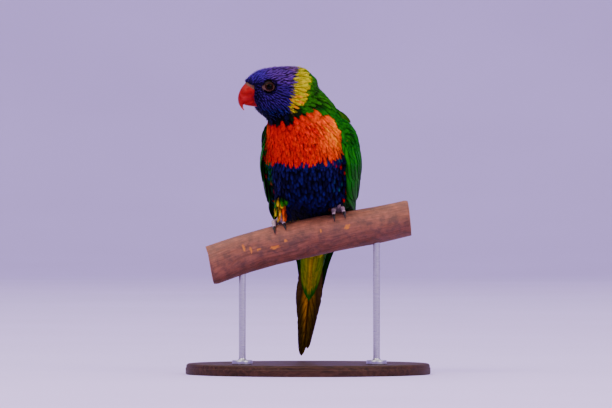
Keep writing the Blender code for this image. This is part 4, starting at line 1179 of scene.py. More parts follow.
def bill_horn():
    """Horn of the bill, grown in layers and worn smooth: waxy red with fine lengthwise growth lines
    and duller scuffs."""
    n = Nodes("lorikeet bill horn")
    where = n.add("TexCoord", {}, "Object")
    stretched = n.add("Mapping", {"Vector": where, "Scale": (0.35, 1.0, 1.0)})
    layers = n.add("TexNoise", {"Vector": stretched, "Scale": mm(2.2), "Detail": 5.0, "Distortion": 0.6})
    base = tint(settings().bare.bill)
    worn = n.add("ValToRGB", (layers,), stops=((0.30, base * 0.62), (0.52, base), (0.75, base * 1.25 + 0.01)))
    tip = n.add("Attribute", {}, "Fac", attribute_name="tip")
    colour = n.add("Mix", {0: tip, 6: worn, 7: linear("#b8480c")}, 2, data_type="RGBA")
    scuff = n.add("TexNoise", {"Vector": where, "Scale": mm(0.8), "Detail": 4.0})
    rough = n.add("MapRange", (scuff, 0.3, 0.75, 0.34, 0.55))
    bump = n.add("Bump", {"Height": layers, "Strength": 0.25, "Distance": 0.12 * MM})
    return n.set(
        Base_Color=colour, Roughness=rough, Normal=bump, IOR=1.55, Subsurface_Weight=0.06,
        Subsurface_Radius=(0.8 * MM, 0.25 * MM, 0.12 * MM), Subsurface_Scale=1.0, Specular_IOR_Level=0.1,
    )


def bare_skin(name, colour, pore):
    """Bare skin, grown in small folds: dull and uneven, with painted shade in its creases, and darker where a
    mark on its points asks for painted shade or a dark rim.
    """
    n = Nodes(name)
    base = tint(colour)
    where = n.add("TexCoord", {}, "Object")
    folds = n.add("TexVoronoi", {"Vector": where, "Scale": mm(pore)}, feature="DISTANCE_TO_EDGE")
    cloud = n.add("TexNoise", {"Vector": where, "Scale": mm(1.6), "Detail": 3.0})
    uneven = n.add("ValToRGB", (cloud,), stops=((0.3, base * 0.6), (0.55, base), (0.8, base * 1.35)))
    # painted shade along the creases of the folds
    line = n.add("MapRange", (folds, 0.0, 0.12, 0.55, 1.0))
    # painted shade from a mark on the points: the nostrils' hollows and the lids' upper halves, and the lids'
    # own dark rims
    shade_and_dark_rim = n.add("Attribute", {}, "Fac", attribute_name="shade_and_dark_rim")
    shade = n.add("MapRange", (shade_and_dark_rim, 0.0, 1.0, 1.0, 0.06))
    both = n.add("Math", (line, shade), operation="MULTIPLY")
    tinted = n.add("VectorMath", {0: uneven, "Scale": both}, operation="SCALE")
    bump = n.add("Bump", {"Height": folds, "Strength": 0.5, "Distance": 0.15 * MM})
    return n.set(
        Base_Color=tinted, Roughness=0.5, Normal=bump, IOR=1.42, Subsurface_Weight=0.1,
        Subsurface_Radius=(0.6 * MM, 0.2 * MM, 0.15 * MM), Subsurface_Scale=1.0, Specular_IOR_Level=0.06,
    )


def eye_gloss():
    """A wet eye under its clear cornea: black pupil, a thin reddish brown iris with fine spokes, dark
    rim, and a mirror-like gloss."""
    n = Nodes("wet eye")
    ring = n.add("Attribute", {}, "Fac", attribute_name="ring")
    where = n.add("TexCoord", {}, "Object")
    spokes = n.add("TexNoise", {"Vector": where, "Scale": mm(0.35), "Detail": 3.0})
    iris, pupil = tint(settings().bare.iris), rgb("#010101")
    stops = (
        (0.0, pupil), (0.44, pupil), (0.465, iris * 0.8), (0.53, iris * 1.3), (0.57, iris * 0.7),
        (0.62, rgb("#0b0606")),
    )
    bands = n.add("ValToRGB", (ring,), stops=stops)
    light = n.add("MapRange", (spokes, 0.3, 0.7, 0.6, 1.3))
    tinted = n.add("VectorMath", {0: bands, "Scale": light}, operation="SCALE")
    return n.set(Base_Color=tinted, Roughness=0.05, IOR=1.38, Specular_IOR_Level=0.07)


def claw_horn():
    """Claw horn, grown and worn to a point: dark, half polished, with faint lengthwise lines."""
    n = Nodes("claw horn")
    where = n.add("TexCoord", {}, "Object")
    cloud = n.add("TexNoise", {"Vector": where, "Scale": mm(1.0), "Detail": 4.0})
    base = tint(settings().bare.claw)
    colour = n.add("ValToRGB", (cloud,), stops=((0.35, base * 0.6), (0.7, base * 2.2 + 0.004)))
    rough = n.add("MapRange", (cloud, 0.0, 1.0, 0.2, 0.42))
    bump = n.add("Bump", {"Height": cloud, "Strength": 0.2, "Distance": 0.08 * MM})
    return n.set(Base_Color=colour, Roughness=rough, Normal=bump, IOR=1.55, Specular_IOR_Level=0.25)


def scaly_foot():
    """Foot scales of dry keratin: grey mauve plates, paler on top as painted light, and darker between them
    and underneath as painted shade.
    """
    n = Nodes("dry foot scales")
    shade = n.add("Attribute", {}, "Fac", attribute_name="scute_light_and_shade")
    where = n.add("TexCoord", {}, "Object")
    cloud = n.add("TexNoise", {"Vector": where, "Scale": mm(0.9), "Detail": 4.0})
    base = tint(settings().bare.foot)
    plate = n.add("ValToRGB", (shade,), stops=((0.0, base * 0.12), (0.35, base * 0.45), (0.75, base)))
    light = n.add("MapRange", (cloud, 0.3, 0.7, 0.7, 1.25))
    tinted = n.add("VectorMath", {0: plate, "Scale": light}, operation="SCALE")
    pits = n.add("TexVoronoi", {"Vector": where, "Scale": mm(0.45)}, feature="DISTANCE_TO_EDGE")
    bump = n.add("Bump", {"Height": pits, "Strength": 0.4, "Distance": 0.1 * MM})
    rough = n.add("MapRange", (cloud, 0.0, 1.0, 0.5, 0.75))
    return n.set(Base_Color=tinted, Roughness=rough, Normal=bump, IOR=1.5)


def weathered_branch():
    """A branch whose bark has worn to its thin inner skin: brown mauve, streaked along the grain, paler on
    top, partly from wear and partly as painted light, with painted shade on its underside and in its furrows,
    and orange sapwood in its nicks."""
    n = Nodes("weathered branch")
    where = n.add("Attribute", {}, "Vector", attribute_name="grain", attribute_type="GEOMETRY")
    worn_and_lit, nick, cut, year = (
        n.add("Attribute", {}, "Fac", attribute_name=name) for name in ("worn_and_lit", "nick", "cut", "year")
    )
    solid = n.add("TexCoord", {}, "Object")
    long = n.add("Mapping", {"Vector": where, "Scale": (0.07, 1.0, 1.0)})
    streaks = n.add("TexNoise", {"Vector": long, "Scale": 0.9, "Detail": 8.0, "Roughness": 0.62})
    fine = n.add("TexNoise", {"Vector": long, "Scale": 3.2, "Detail": 4.0, "Roughness": 0.6})
    spots = n.add("TexNoise", {"Vector": solid, "Scale": mm(5.0), "Detail": 5.0, "Roughness": 0.6})
    wood, shade = tint(settings().perch.wood), tint(settings().perch.shade)
    stops = ((0.28, shade * 0.55), (0.42, shade * 1.1), (0.55, wood * 0.9), (0.72, wood * 1.2))
    streaked = n.add("ValToRGB", (streaks,), stops=stops)
    # painted light and shade: paler on top and on the ridges' crests, partly real wear on top, and darker on
    # the underside and in the furrows
    lit = n.add("Mix", {0: worn_and_lit, 6: (*shade, 1.0), 7: (*wood * 1.12, 1.0)}, 2, data_type="RGBA")
    body = n.add("Mix", {0: 0.5, 6: streaked, 7: lit}, 2, data_type="RGBA")
    speck = n.add("MapRange", (spots, 0.34, 0.66, 0.5, 1.25))
    lines = n.add("MapRange", (fine, 0.3, 0.7, 0.8, 1.14))
    both = n.add("Math", (speck, lines), operation="MULTIPLY")
    tinted = n.add("VectorMath", {0: body, "Scale": both}, operation="SCALE")
    nicked = n.add("Mix", {0: nick, 6: tinted, 7: linear("#b06008")}, 2, data_type="RGBA")
    # year rings of 1 mm are drawn 2.4 mm apart, so that they show
    bent = n.add("Math", (spots, 2.2), operation="MULTIPLY")
    rings = n.add("Math", (year, bent), operation="ADD")
    wave = n.add("Math", (rings, 2 * math.pi / 2.4), operation="MULTIPLY")
    wave = n.add("Math", (wave,), operation="SINE")
    ring_line = n.add("MapRange", {"Value": wave, "From Min": -1.0})
    stops = ((0.0, rgb("#8a5c38")), (0.3, rgb("#a47448")), (1.0, rgb("#ac7e50")))
    end_grain = n.add("ValToRGB", (ring_line,), stops=stops)
    colour = n.add("Mix", {0: cut, 6: nicked, 7: end_grain}, 2, data_type="RGBA")
    height = n.add("Math", (streaks, fine), operation="ADD")
    bump = n.add("Bump", {"Height": height, "Strength": 0.55, "Distance": 0.5 * MM})
    rough = n.add("MapRange", (spots, 0.0, 1.0, 0.52, 0.82))
    return n.set(Base_Color=colour, Roughness=rough, Normal=bump, IOR=1.5)


def stained_beech():
    """Beech, turned, stained dark and oiled: fine short flecks along the grain and a soft satin."""
    n = Nodes("stained beech")
    where = n.add("TexCoord", {}, "Object")
    long = n.add("Mapping", {"Vector": where, "Scale": (0.08, 1.0, 0.6)})
    grain = n.add("TexNoise", {"Vector": long, "Scale": mm(1.8), "Detail": 7.0, "Distortion": 0.8})
    pores = n.add("TexNoise", {"Vector": long, "Scale": mm(0.45), "Detail": 2.0})
    base = tint(settings().stand.board)
    stained = n.add("ValToRGB", (grain,), stops=((0.3, base * 0.5), (0.5, base), (0.72, base * 1.8)))
    fleck = n.add("MapRange", (pores, 0.35, 0.6, 0.7, 1.08))
    tinted = n.add("VectorMath", {0: stained, "Scale": fleck}, operation="SCALE")
    rough = n.add("MapRange", (grain, 0.0, 1.0, 0.42, 0.6))
    bump = n.add("Bump", {"Height": pores, "Strength": 0.2, "Distance": 0.1 * MM})
    return n.set(Base_Color=tinted, Roughness=rough, Normal=bump, IOR=1.5, Specular_IOR_Level=0.12)


def brushed_steel():
    """Stainless steel, turned and brushed round: pale, with fine rings that stretch its shine."""
    n = Nodes("brushed stainless steel")
    where = n.add("TexCoord", {}, "Object")
    rings = n.add("Mapping", {"Vector": where, "Scale": (0.05, 0.05, 1.0)})
    lines = n.add("TexNoise", {"Vector": rings, "Scale": mm(0.25), "Detail": 4.0})
    base = tint(settings().stand.steel)
    colour = n.add("ValToRGB", (lines,), stops=((0.3, base * 0.8), (0.7, base)))
    rough = n.add("MapRange", (lines, 0.0, 1.0, 0.2, 0.38))
    bump = n.add("Bump", {"Height": lines, "Strength": 0.15, "Distance": 0.03 * MM})
    return n.set(Base_Color=colour, Metallic=1.0, Roughness=rough, Normal=bump)


def studio_paper():
    """Studio background paper, rolled: matt, pale lilac, with a very faint fibre."""
    n = Nodes("studio paper")
    where = n.add("TexCoord", {}, "Object")
    cloud = n.add("TexNoise", {"Vector": where, "Scale": 2.5, "Detail": 2.0})
    base = tint(settings().stage.floor)
    colour = n.add("ValToRGB", (cloud,), stops=((0.3, base * 0.97), (0.7, np.minimum(base * 1.03, 1.0))))
    return n.set(Base_Color=colour, Roughness=0.9, Specular_IOR_Level=0.2)


# Wings and tail: vanes with a shaft, a web of barbs and a few splits


def vane_width(s, root=0.55, point=0.1, taper=0.62):
    """Share of a feather's full half width at each share s of its length."""
    s = np.asarray(s, float)
    left = np.clip((s - taper) / (1 - taper), 0, 1)
    body = np.maximum(point, np.sqrt(np.clip(1 - left**2, 0, 1)))
    return np.where(s < 0.2, root + (1 - root) * s / 0.2, body)


class Vanes:
    """Collects vanes of one piece, then makes them one mesh with its marks."""

    def __init__(self, seed):
        self.rng = RNG(seed)
        self.points, self.faces, self.shades, self.barbs, self.roots, self.local = ([] for _ in range(6))
        self.start = 0

    def add(self, put, shade, length, half, rows=26, columns=9, thick=0.16, splits=4, cup=0.25):
        """put(s, q, lift) gives points in millimetres. shade(s, q) gives linear colours."""
        steps = np.linspace(0, 1, rows) ** 0.92
        s, q = np.meshgrid(steps, np.linspace(-1, 1, columns), indexing="ij")
        for _ in range(splits):
            spot = self.rng.uniform(0.35, 0.97)
            side = self.rng.choice((-1, 1))
            dip = 0.22 * np.exp(-(((steps - spot) / 0.022) ** 2)) * self.rng.uniform(0.4, 1.0)
            q = q * np.where(np.sign(q) == side, (1 - dip)[:, None] ** (np.abs(q) ** 2), 1.0)
        wave = self.rng.normal(0, 0.012, rows)[:, None] * np.abs(q)
        q = q * (1 + wave)
        shaft = 0.14 * np.exp(-((q * half / 0.35) ** 2)) * (1 - s)
        lift = cup * (1 - q**2) * min(1.0, half / 4.0) + shaft
        upper = put(s, q, lift + thick / 2)
        lower = put(s, q, lift - thick / 2 - shaft)
        points = np.stack([upper, lower])
        self.points.append(points.reshape(-1, 3))
        self.faces.append(closed_vane(points) + self.start)
        self.start += points.size // 3
        rib = np.exp(-((q * half / 0.4) ** 2))[..., None]
        colour = shade(s, q) * (1 - 0.45 * rib)
        self.shades.append(np.concatenate([colour.reshape(-1, 3)] * 2))
        slant = s * length - np.abs(q) * half * 1.1
        self.barbs.append(np.concatenate([slant.ravel()] * 2))
        self.roots.append(np.repeat(upper[0, columns // 2][None], points.size // 3, 0))
        self.local.append(np.concatenate([np.stack([q.ravel(), s.ravel() - 0.5], 1)] * 2))

    def finish(self, name, skin):
        made = add_mesh(name, np.concatenate(self.points), np.concatenate(self.faces))
        set_points(made, "plumage", np.clip(np.concatenate(self.shades), 0, 1))
        set_points(made, "barbs", np.concatenate(self.barbs))
        roots = np.concatenate(self.roots)
        _, first, back = np.unique(roots.round(4), axis=0, return_index=True, return_inverse=True)
        _, _, uv = skin.land(roots[first])
        uv = uv[back.reshape(-1)]
        set_uvs(made, uv + np.concatenate(self.local) * (0.0015, 0.003))
        made.data.set_sharp_from_angle(angle=math.radians(50))
        return made


# Each tier of the wing: how many feathers, where they are rooted, where the tips of the first and of
# the last lie, and their heights at the root, the middle and the tip
WING_TIERS = (
    ("secondary", 10, 70.0, (119.0, 131.0), (1.6, 3.0, 3.3)),
    ("greater covert", 11, 52.0, (86.0, 91.0), (2.6, 3.8, 3.9)),
    ("median covert", 12, 42.0, (67.0, 70.0), (3.0, 4.5, 4.5)),
    ("lesser covert", 13, 35.0, (53.0, 56.0), (0.2, 2.4, 4.6)),
    ("least covert", 13, 31.0, (43.0, 46.0), (-1.2, 0.6, 3.4)),
)


# How wide a folded wing is, for the width of its vanes' shafts and barbs, and how little its form's
# radius may be where the primaries' tips are laid round it
WING_WIDTH, LEAST_ROUND = 40.0, 14.0
PRIMARY_HALF, MANTLE_HALF = 3.3, 1.9
BACKWARD = np.array((0.0, 1.0, 0.0))


def add_mantle_tips(vanes, skin):
    """The clump of mantle feathers that stands out over the left shoulder."""
    rng = RNG(77)
    band = skin.points[np.abs(skin.points[:, 2] - 195.0) < 1.5]
    edge = band[np.argmax(band[:, 0])]
    for i in range(9):
        share = i / 8
        root = edge + np.array([-6.0 + 4.0 * share, rng.normal(0, 1.5), 2.0 - 3.5 * share])
        tip_x, tip_y = 23.0 + 7.8 * share + rng.normal(0, 0.5), edge[1] + rng.normal(0, 1.5)
        tip = np.array([tip_x, tip_y, 189.6 - 4.4 * share])
        reach = np.linalg.norm(tip - root)
        across = unit(np.cross((tip - root) / reach, BACKWARD))
        tone = rng.uniform(0.7, 1.2)

        def put(s, q, lift):
            arch = 1.5 * np.sin(math.pi * s) - 0.8 * s**3
            spine = root + (tip - root) * s[..., None] + UP * arch[..., None]
            wide = q * MANTLE_HALF * vane_width(s, point=0.05, taper=0.4)
            return spine + across * wide[..., None] - BACKWARD * lift[..., None]

        def shade(s, q):
            # olive towards the tip, and near black towards one edge as painted shade
            mossy, edge = 0.5 * smooth(s, 0.3, 0.9), 0.7 * smooth(q, 0.3, 1.0)
            return blend_of(plumage("back") * tone, rgb("#4a5408") * tone, mossy, "#020a00", edge)

        vanes.add(put, shade, reach, MANTLE_HALF, rows=14, columns=7, thick=0.14, splits=2)


def build_wing(label, side, skin, web):
    """Flight feathers, three tiers of coverts and the small coverts of the shoulder."""
    vanes = Vanes(41 if side > 0 else 43)
    rng = RNG(71 if side > 0 else 73)
    green, deep, black = plumage("back"), rgb("#063800"), rgb("#000200")

    def tinted(tone, gap, tip_dark=0.0):
        def shade(s, q):
            return blend_of(
                green * tone,
                deep * tone, 0.25 + 0.3 * np.sin(7 * s + 3 * tone),
                # towards the side that the next feather covers, the web turns black: partly the flight
                # feathers' own dark inner webs, partly painted shadow of the next feather
                black, gap * smooth(q, -0.15, 0.5),
                black, 0.75 * smooth(-q, 0.86, 1.0),
                black, tip_dark * smooth(s, 0.6, 0.95),
            )

        return shade

    for index, tip in enumerate(PRIMARY_TIPS):
        def put(s, q, lift):
            along = PRIMARY_ROOT + (tip - PRIMARY_ROOT) * s
            half = PRIMARY_HALF * vane_width(s, taper=0.7, point=0.05)
            front = spline_at(along, WING_EDGE_AT, WING_FRONT)
            _, across, depth = WINGS.section(along)
            round_mm = (np.linalg.norm(across, axis=-1) + np.linalg.norm(depth, axis=-1)) / 2
            round_mm = np.maximum(LEAST_ROUND, round_mm)
            angle = front + np.degrees((4.6 - 1.2 * s + 1.15 * index + half * q) / round_mm)
            height = 1.1 + 0.7 * s**2 - 0.34 * half * q + lift
            return WINGS.point(along, angle, height, side)

        vanes.add(put, tinted(0.42, 0.8, 0.85), tip - PRIMARY_ROOT, PRIMARY_HALF, rows=30, splits=3)
    for tier, count, root, tips, heights in WING_TIERS:
        for i in range(count):
            reach = tips[0] + (tips[1] - tips[0]) * i / (count - 1) + rng.normal(0, 1.5)
            middle = 0.02 + (i + 0.5) / count * 0.95
            wide = 1.22 * 0.95 / count
            tilt = rng.normal(0, 0.012)
            raise_by = 0.35 * abs(rng.normal(0, 1.0))

            def put(s, q, lift):
                along = root + (reach - root) * s
                off = q * vane_width(s, point=0.04)
                share = middle + off * wide + tilt * s
                height = spline_at(s, (0.0, 0.4, 1.0), heights) - 0.62 * off + lift + raise_by * s
                return wing_point(side, along, share, height)

            tone = rng.uniform(0.72, 1.2)
            # how far the covered side turns black, partly painted shadow; the two front feathers of each tier
            # get less
            gap = 0.35 if i < 2 else 0.92 if tier == "secondary" else 0.75
            rows = 26 if tier == "secondary" else 18
            vanes.add(put, tinted(tone, gap, 0.12), reach - root, wide * WING_WIDTH, rows=rows)
    if side > 0:
        add_mantle_tips(vanes, skin)
    place(vanes.finish(f"wing_{label}_vanes", skin), web, "green_plumage", f"wing_{label}")


# The tail's coverts: below or above it, how many, and each row's reach and root along the tail
TAIL_COVERTS = (
    (True, 7, ((39.0, 2.0), (30.0, 0.0), (21.0, -1.0))),
    (False, 6, ((38.0, 8.0), (28.0, 4.0))),
)
COVERTS_WIDTH = 15.5
# How high they lie at each place along the tail
COVERTS_BED = (-6, 0, 6, 12, 18, 24, 30, 46), (5.0, 7.6, 8.4, 7.2, 5.6, 4.6, 4.0, 3.4)


def build_tail(skin, web):
    """Twelve tail feathers, and the long coverts over and under their roots."""
    vanes = Vanes(47)
    rng = RNG(48)
    green = plumage("back")
    for pair in range(len(TAIL_LENGTHS)):
        for side in (-1, 1):
            length = TAIL_LENGTH * TAIL_LENGTHS[pair]
            if pair == 0 and side > 0:
                length *= 0.915
            height = 1.9 - TAIL_LAYER * (pair + (1 if pair or side > 0 else 0))

            def put(s, q, lift):
                along = 4.0 + (length - 4.0) * s
                spread = TAIL_HALF_WIDTH * vane_width(s, root=0.6, point=0.02, taper=0.5)
                if pair == 0:
                    aside = side * (1.2 + 0.4 * s) + spread * q
                else:
                    shaft = 1.5 + TAIL_FAN * pair * (0.55 + 0.45 * s)
                    inner = np.maximum(0.35, shaft - spread)
                    outer = shaft + spread * 0.8
                    aside = side * (inner + (outer - inner) * (q * side + 1) / 2)
                return tail_point(along, aside, height * (1 - 0.55 * s) + lift)

            def shade(s, q):
                inward = -q * side
                warm = smooth(inward, 0.1, 0.7) * smooth(s, 0.15, 0.4) * (1 - smooth(s, 0.75, 0.95))
                colour = blend_of(
                    "#4e3a1a",
                    "#786400", 0.5 * smooth(inward, -0.2, 0.5),
                    "#e89c00", (0.9 if side < 0 else 0.2) * warm * (pair > 0),
                    # painted shade along both edges of each feather
                    "#0c0602", 0.85 * smooth(np.abs(q), 0.82, 0.98),
                    green * 0.5, 0.6 * (1 - smooth(s, 0.1, 0.35)) * (inward < 0),
                )
                # painted shade towards the tip
                return colour * (1 - 0.45 * smooth(s, 0.6, 1.0))[..., None]

            vanes.add(put, shade, length, TAIL_HALF_WIDTH, rows=44, columns=9, splits=3, cup=0.1)
    for below, count, rows in TAIL_COVERTS:
        for layer, (reach, root) in enumerate(rows):
            for i in range(count):
                aside_by = i - (count - 1) / 2
                spot = aside_by * (COVERTS_WIDTH / count) * (1 - 0.08 * layer)
                far = reach - 1.6 * abs(aside_by) ** 1.4 + rng.normal(0, 0.8)
                lean = rng.normal(0, 0.06)

                def put(s, q, lift):
                    deeper = 5.0 if below else 0.0
                    along = root - deeper + (far - root + deeper) * s
                    wide = COVERTS_WIDTH / 7 * 1.15 * vane_width(s, root=0.7, taper=0.4, point=0.03)
                    aside = spot * (1 - 0.42 * s) + wide * q
                    bed = spline_at(along, *COVERTS_BED)
                    round_off = np.sqrt(np.clip(1 - (aside / 11.5) ** 2, 0.2, 1.0))
                    stack = bed * round_off + 0.35 * layer + 0.5 * s + 0.18 * (i % 2)
                    stack = stack - (0.0 if below else 0.3)
                    slant = (lean + 0.12) * q
                    height = (-1 if below else 1) * (stack + lift) + slant + TAIL_ARCH * aside**2
                    return tail_point(along, aside, height)

                def shade(s, q):
                    middle = 1 - smooth(abs(aside_by), 1.0, 2.6)
                    tip = smooth(s, 0.72, 0.9) * (1.0 if layer == 0 else 0.25)
                    # painted shade along each covert's edges and at its root, under the others
                    shade_and_dark_rim = 0.6 * smooth(np.abs(q), 0.8, 1.0) + 0.3 * (1 - smooth(s, 0.1, 0.5))
                    if below:
                        lit = "#307000", plumage("vent"), 0.25 + 0.75 * middle, "#b87000", 0.35 * middle
                        return blend_of(*lit, "#0c6400", tip, "#050a03", shade_and_dark_rim)
                    return blend_of(green * 0.8, "#0c3a07", 0.5 * smooth(s, 0.5, 1.0), "#050a03", shade_and_dark_rim)

                vanes.add(put, shade, far - root, 2.6, rows=16, columns=7, splits=2)
    place(vanes.finish("tail_vanes", skin), web, "tail_plumage", "tail")


# Bill, cere and eyes


def profile_points(table, rings, sides, grow=0.0):
    """Points of a loft through oval sections of the head's frame, and the share of its length and
    turn that each has."""
    table = np.array(table, float)
    for end, beside in ((0, 1), (-1, -2)):
        table[end, :4] += unit(table[end, :4] - table[beside, :4]) * grow
    middles = (table[:, 0:2] + table[:, 2:4]) / 2
    knots = np.concatenate([[0.0], np.cumsum(np.linalg.norm(np.diff(middles, axis=0), axis=1))])
    along = np.linspace(knots[0], knots[-1], rings)
    top_h, top_v, low_h, low_v, half = spline_at(along, knots, table).T
    turn = turns_of(sides)
    middle = np.stack([(top_h + low_h) / 2, (top_v + low_v) / 2], 1)
    rise = np.stack([(top_h - low_h) / 2, (top_v - low_v) / 2], 1)
    length = np.linalg.norm(rise, axis=1, keepdims=True)
    rise = rise * (length + grow) / length
    return middle, rise, half + grow, turn, along / knots[-1]


def build_bill(horn):
    """Upper and lower bill. The upper one has a narrow ridge on top, a cutting edge that swells over
    the lower one, and fine growth lines."""
    for node, table, rings, sides in (("bill_upper", UPPER_BILL, 72, 56), ("bill_lower", LOWER_BILL, 36, 44)):
        upper = table is UPPER_BILL
        middle, rise, half, turn, share = profile_points(table, rings, sides)
        up, across = np.sin(turn), np.cos(turn)
        points, tips = [], []
        for i in range(rings):
            # superellipse: fuller sides than an oval, and a roof along the ridge
            wide = np.sign(across) * np.abs(across) ** 0.86 * half[i]
            high = np.sign(up) * np.abs(up) ** 0.94
            roof = 1 + (0.05 * np.exp(-((across / 0.18) ** 2)) * (up > 0) * (1 - share[i]) if upper else 0.0)
            edge = 0.0
            if upper:
                # the cutting edge hangs over the lower bill, most of all in its middle
                swell = 0.75 * float(1 - smooth(share[i], 0.35, 0.55))
                swell += 0.45 * math.exp(-(((share[i] - 0.42) / 0.1) ** 2))
                edge = -swell * smooth(-up, 0.3, 0.95)
            spot = middle[i][None] + rise[i][None] * (high * roof)[:, None]
            points.append(head_point(spot[:, 0], wide, spot[:, 1] + edge))
            tips.append(np.full(sides, smooth(share[i], 0.80, 1.0)))
        points += [head_point(h, 0.0, v)[None] for h, v in (middle[0], middle[-1])]
        made = clean_up(add_mesh(node + "_horn", np.concatenate(points), bar_faces(rings, sides)))
        set_points(made, "tip", np.concatenate(tips + [[0.0, 1.0]]) * (0.75 if upper else 0.4))
        place(made, horn, "bill", node)


# The cere follows this many rings of the upper bill, of so many sides
CERE_RINGS, CERE_SIDES = 42, 64


def build_cere(skin_finish):
    """The bare saddle of skin over the root of the upper bill, with an oval nostril on each side."""
    middle, rise, half, turn, _ = profile_points(UPPER_BILL, 90, CERE_SIDES, grow=0.32)
    points = []
    for i in range(CERE_RINGS):
        spot = middle[i][None] + rise[i][None] * np.sin(turn)[:, None]
        wide = np.sign(np.cos(turn)) * np.abs(np.cos(turn)) ** 0.9 * half[i]
        points.append(head_point(spot[:, 0], wide, spot[:, 1]))
    points = np.concatenate(points)
    away = points - HEAD_MIDDLE
    h, w, v = away @ HEAD_FORWARD, away @ HEAD_LEFT, away[:, 2]
    # its front edge slants from the ridge down and back to the corner of the mouth
    (h0, v0), (h1, v1) = CERE_FROM, CERE_TO
    line = np.array((h1 - h0, v1 - v0)) / math.hypot(h1 - h0, v1 - v0)
    ahead = (h - h0) * -line[1] + (v - v0) * line[0]
    slide = 1.02 * np.maximum(0.0, ahead)
    points = points + HEAD_FORWARD * (slide * line[1])[:, None] - UP * (slide * line[0])[:, None]
    inward = smooth(ahead, -0.6, 0.0)
    centre = head_point(h * 0 + 22.0, 0.0 * w, 0 * v + 1.5)
    points = points + unit(centre - points) * (0.55 * inward)[:, None]
    # nostrils, and the soft swelling round each
    off = np.hypot(h - NOSTRIL[0] + 1.2, (v - NOSTRIL[1] - 0.2) * 1.2)
    side = np.abs(w) > 1.0
    swell = 0.30 * np.exp(-(((off - 1.35) / 0.7) ** 2)) - 1.2 * np.exp(-((off / 0.72) ** 2))
    points = points - unit(centre - points) * (swell * side)[:, None]
    made = clean_up(add_mesh("cere_skin", points, grid_faces(CERE_RINGS, CERE_SIDES, closed=True)))
    # the nostrils are darkened: painted shade in their hollows
    set_points(made, "shade_and_dark_rim", 0.9 * side * np.exp(-((off / 0.85) ** 4)))
    thicken(made, 0.25)
    place(made, skin_finish, "cere", "cere")


# The lids' rings: how far each is from the middle of the eye, and its height over the ball's middle
LIDS = (
    (2.96, 3.42), (3.06, 3.72), (3.18, 3.80), (3.32, 3.72), (3.48, 3.50), (3.66, 3.1), (3.9, 2.5), (4.3, 1.7),
    (4.95, 0.9), (5.7, 0.1),
)
BALL_RINGS, BALL_SIDES, LID_SIDES = 40, 56, 96


def circle(turns):
    """Directions round the eyes, from the bill's way over the top."""
    return HEAD_FORWARD * np.cos(turns)[:, None] + UP * np.sin(turns)[:, None]


def build_eyes(ball_finish, lid_finish):
    """Eyeballs with a clear bulge over the iris, and the ring of bare skin round each."""
    for label, side in (("left", 1), ("right", -1)):
        centre = head_point(EYE_PLACE[0], side * (EYE_TOP - EYE_RADIUS), EYE_PLACE[1])
        out = HEAD_LEFT * side
        points, marks = [], []
        for i in range(1, BALL_RINGS):
            tilt = math.pi * (i / BALL_RINGS) ** 1.25
            radius = EYE_RADIUS * (1 + 0.035 * math.exp(-((tilt / 0.42) ** 2)))
            ring = centre + out * (radius * math.cos(tilt))
            points.append(ring + circle(turns_of(BALL_SIDES)) * radius * math.sin(tilt))
            marks.append(np.full(BALL_SIDES, math.sin(tilt) if tilt < 1.57 else 1.0))
        points += [(centre + out * EYE_RADIUS * 1.035)[None], (centre - out * EYE_RADIUS)[None]]
        faces = bar_faces(BALL_RINGS - 1, BALL_SIDES)
        made = clean_up(add_mesh(f"eye_{label}_ball", np.concatenate(points), faces))
        set_points(made, "ring", np.concatenate(marks + [[0.0, 1.0]]))
        place(made, ball_finish, "eye", f"eye_{label}")
        # lids: a soft rolled rim on the ball, then a wrinkled ring that sinks under the feathers
        turns = turns_of(LID_SIDES)
        rows, shade_and_dark_rim = [], []
        for j, (reach, lift) in enumerate(LIDS):
            wedge = (eye_rim(turns) - EYE_RING) / 3.0
            reach_now = reach * (1 + wedge * 0.10 * max(0, j - 4)) * (1 + 0.04 * np.cos(2 * turns))
            ripple = 0.07 * np.sin(turns * 23 + j * 1.3) * smooth(j, 2, 5) + 0.05 * np.sin(turns * 11 + j)
            rise = lift + ripple - 0.10 * wedge * max(0, j - 5)
            rows.append(centre + out * rise[:, None] + circle(turns) * reach_now[:, None])
            # the lid's rim is dark, its own colour, and its upper half is darker as painted shade
            shade_and_dark_rim.append(np.maximum(smooth(3.2 - reach, 0.0, 0.2), smooth(np.sin(turns), -0.1, 0.5) * 0.9))
        faces = grid_faces(len(LIDS), LID_SIDES, closed=True)
        made = clean_up(add_mesh(f"eye_{label}_lids", np.concatenate(rows), faces))
        set_points(made, "shade_and_dark_rim", np.concatenate(shade_and_dark_rim))
        thicken(made, 0.22, softer=True)
        place(made, lid_finish, "cere")


# Feet and claws

# Each toe: how far its root lies aside, how far it spreads, and the angles round the branch
TOES = (
    ("front_inner", 3.2, 1.4, 112.0, 60.0),
    ("front_outer", -3.2, -1.4, 112.0, 56.0),
    ("back_inner", 2.6, 2.0, 116.0, 172.0),
    ("back_outer", -2.6, -2.0, 116.0, 178.0),
)
TOE_RADIUS, TOE_ARCH, CLAW_RADIUS, TOE_SIDES = 1.75, 0.9, 1.15, 28


def sweep(path, radii, sides, ups):
    """A round bar along a path, closed at both ends. Radii may differ round it."""
    ahead = unit(np.gradient(path, axis=0))
    up = unit(ups - ahead * np.sum(ups * ahead, axis=1, keepdims=True))
    side = np.cross(ahead, up)
    turn = turns_of(sides)
    radii = np.broadcast_to(radii, (len(path), sides))
    ring = side[:, None] * np.cos(turn)[None, :, None] + up[:, None] * np.sin(turn)[None, :, None]
    points = path[:, None] + ring * radii[..., None]
    return np.concatenate([points.reshape(-1, 3), path[:1], path[-1:]]), bar_faces(len(path), sides)


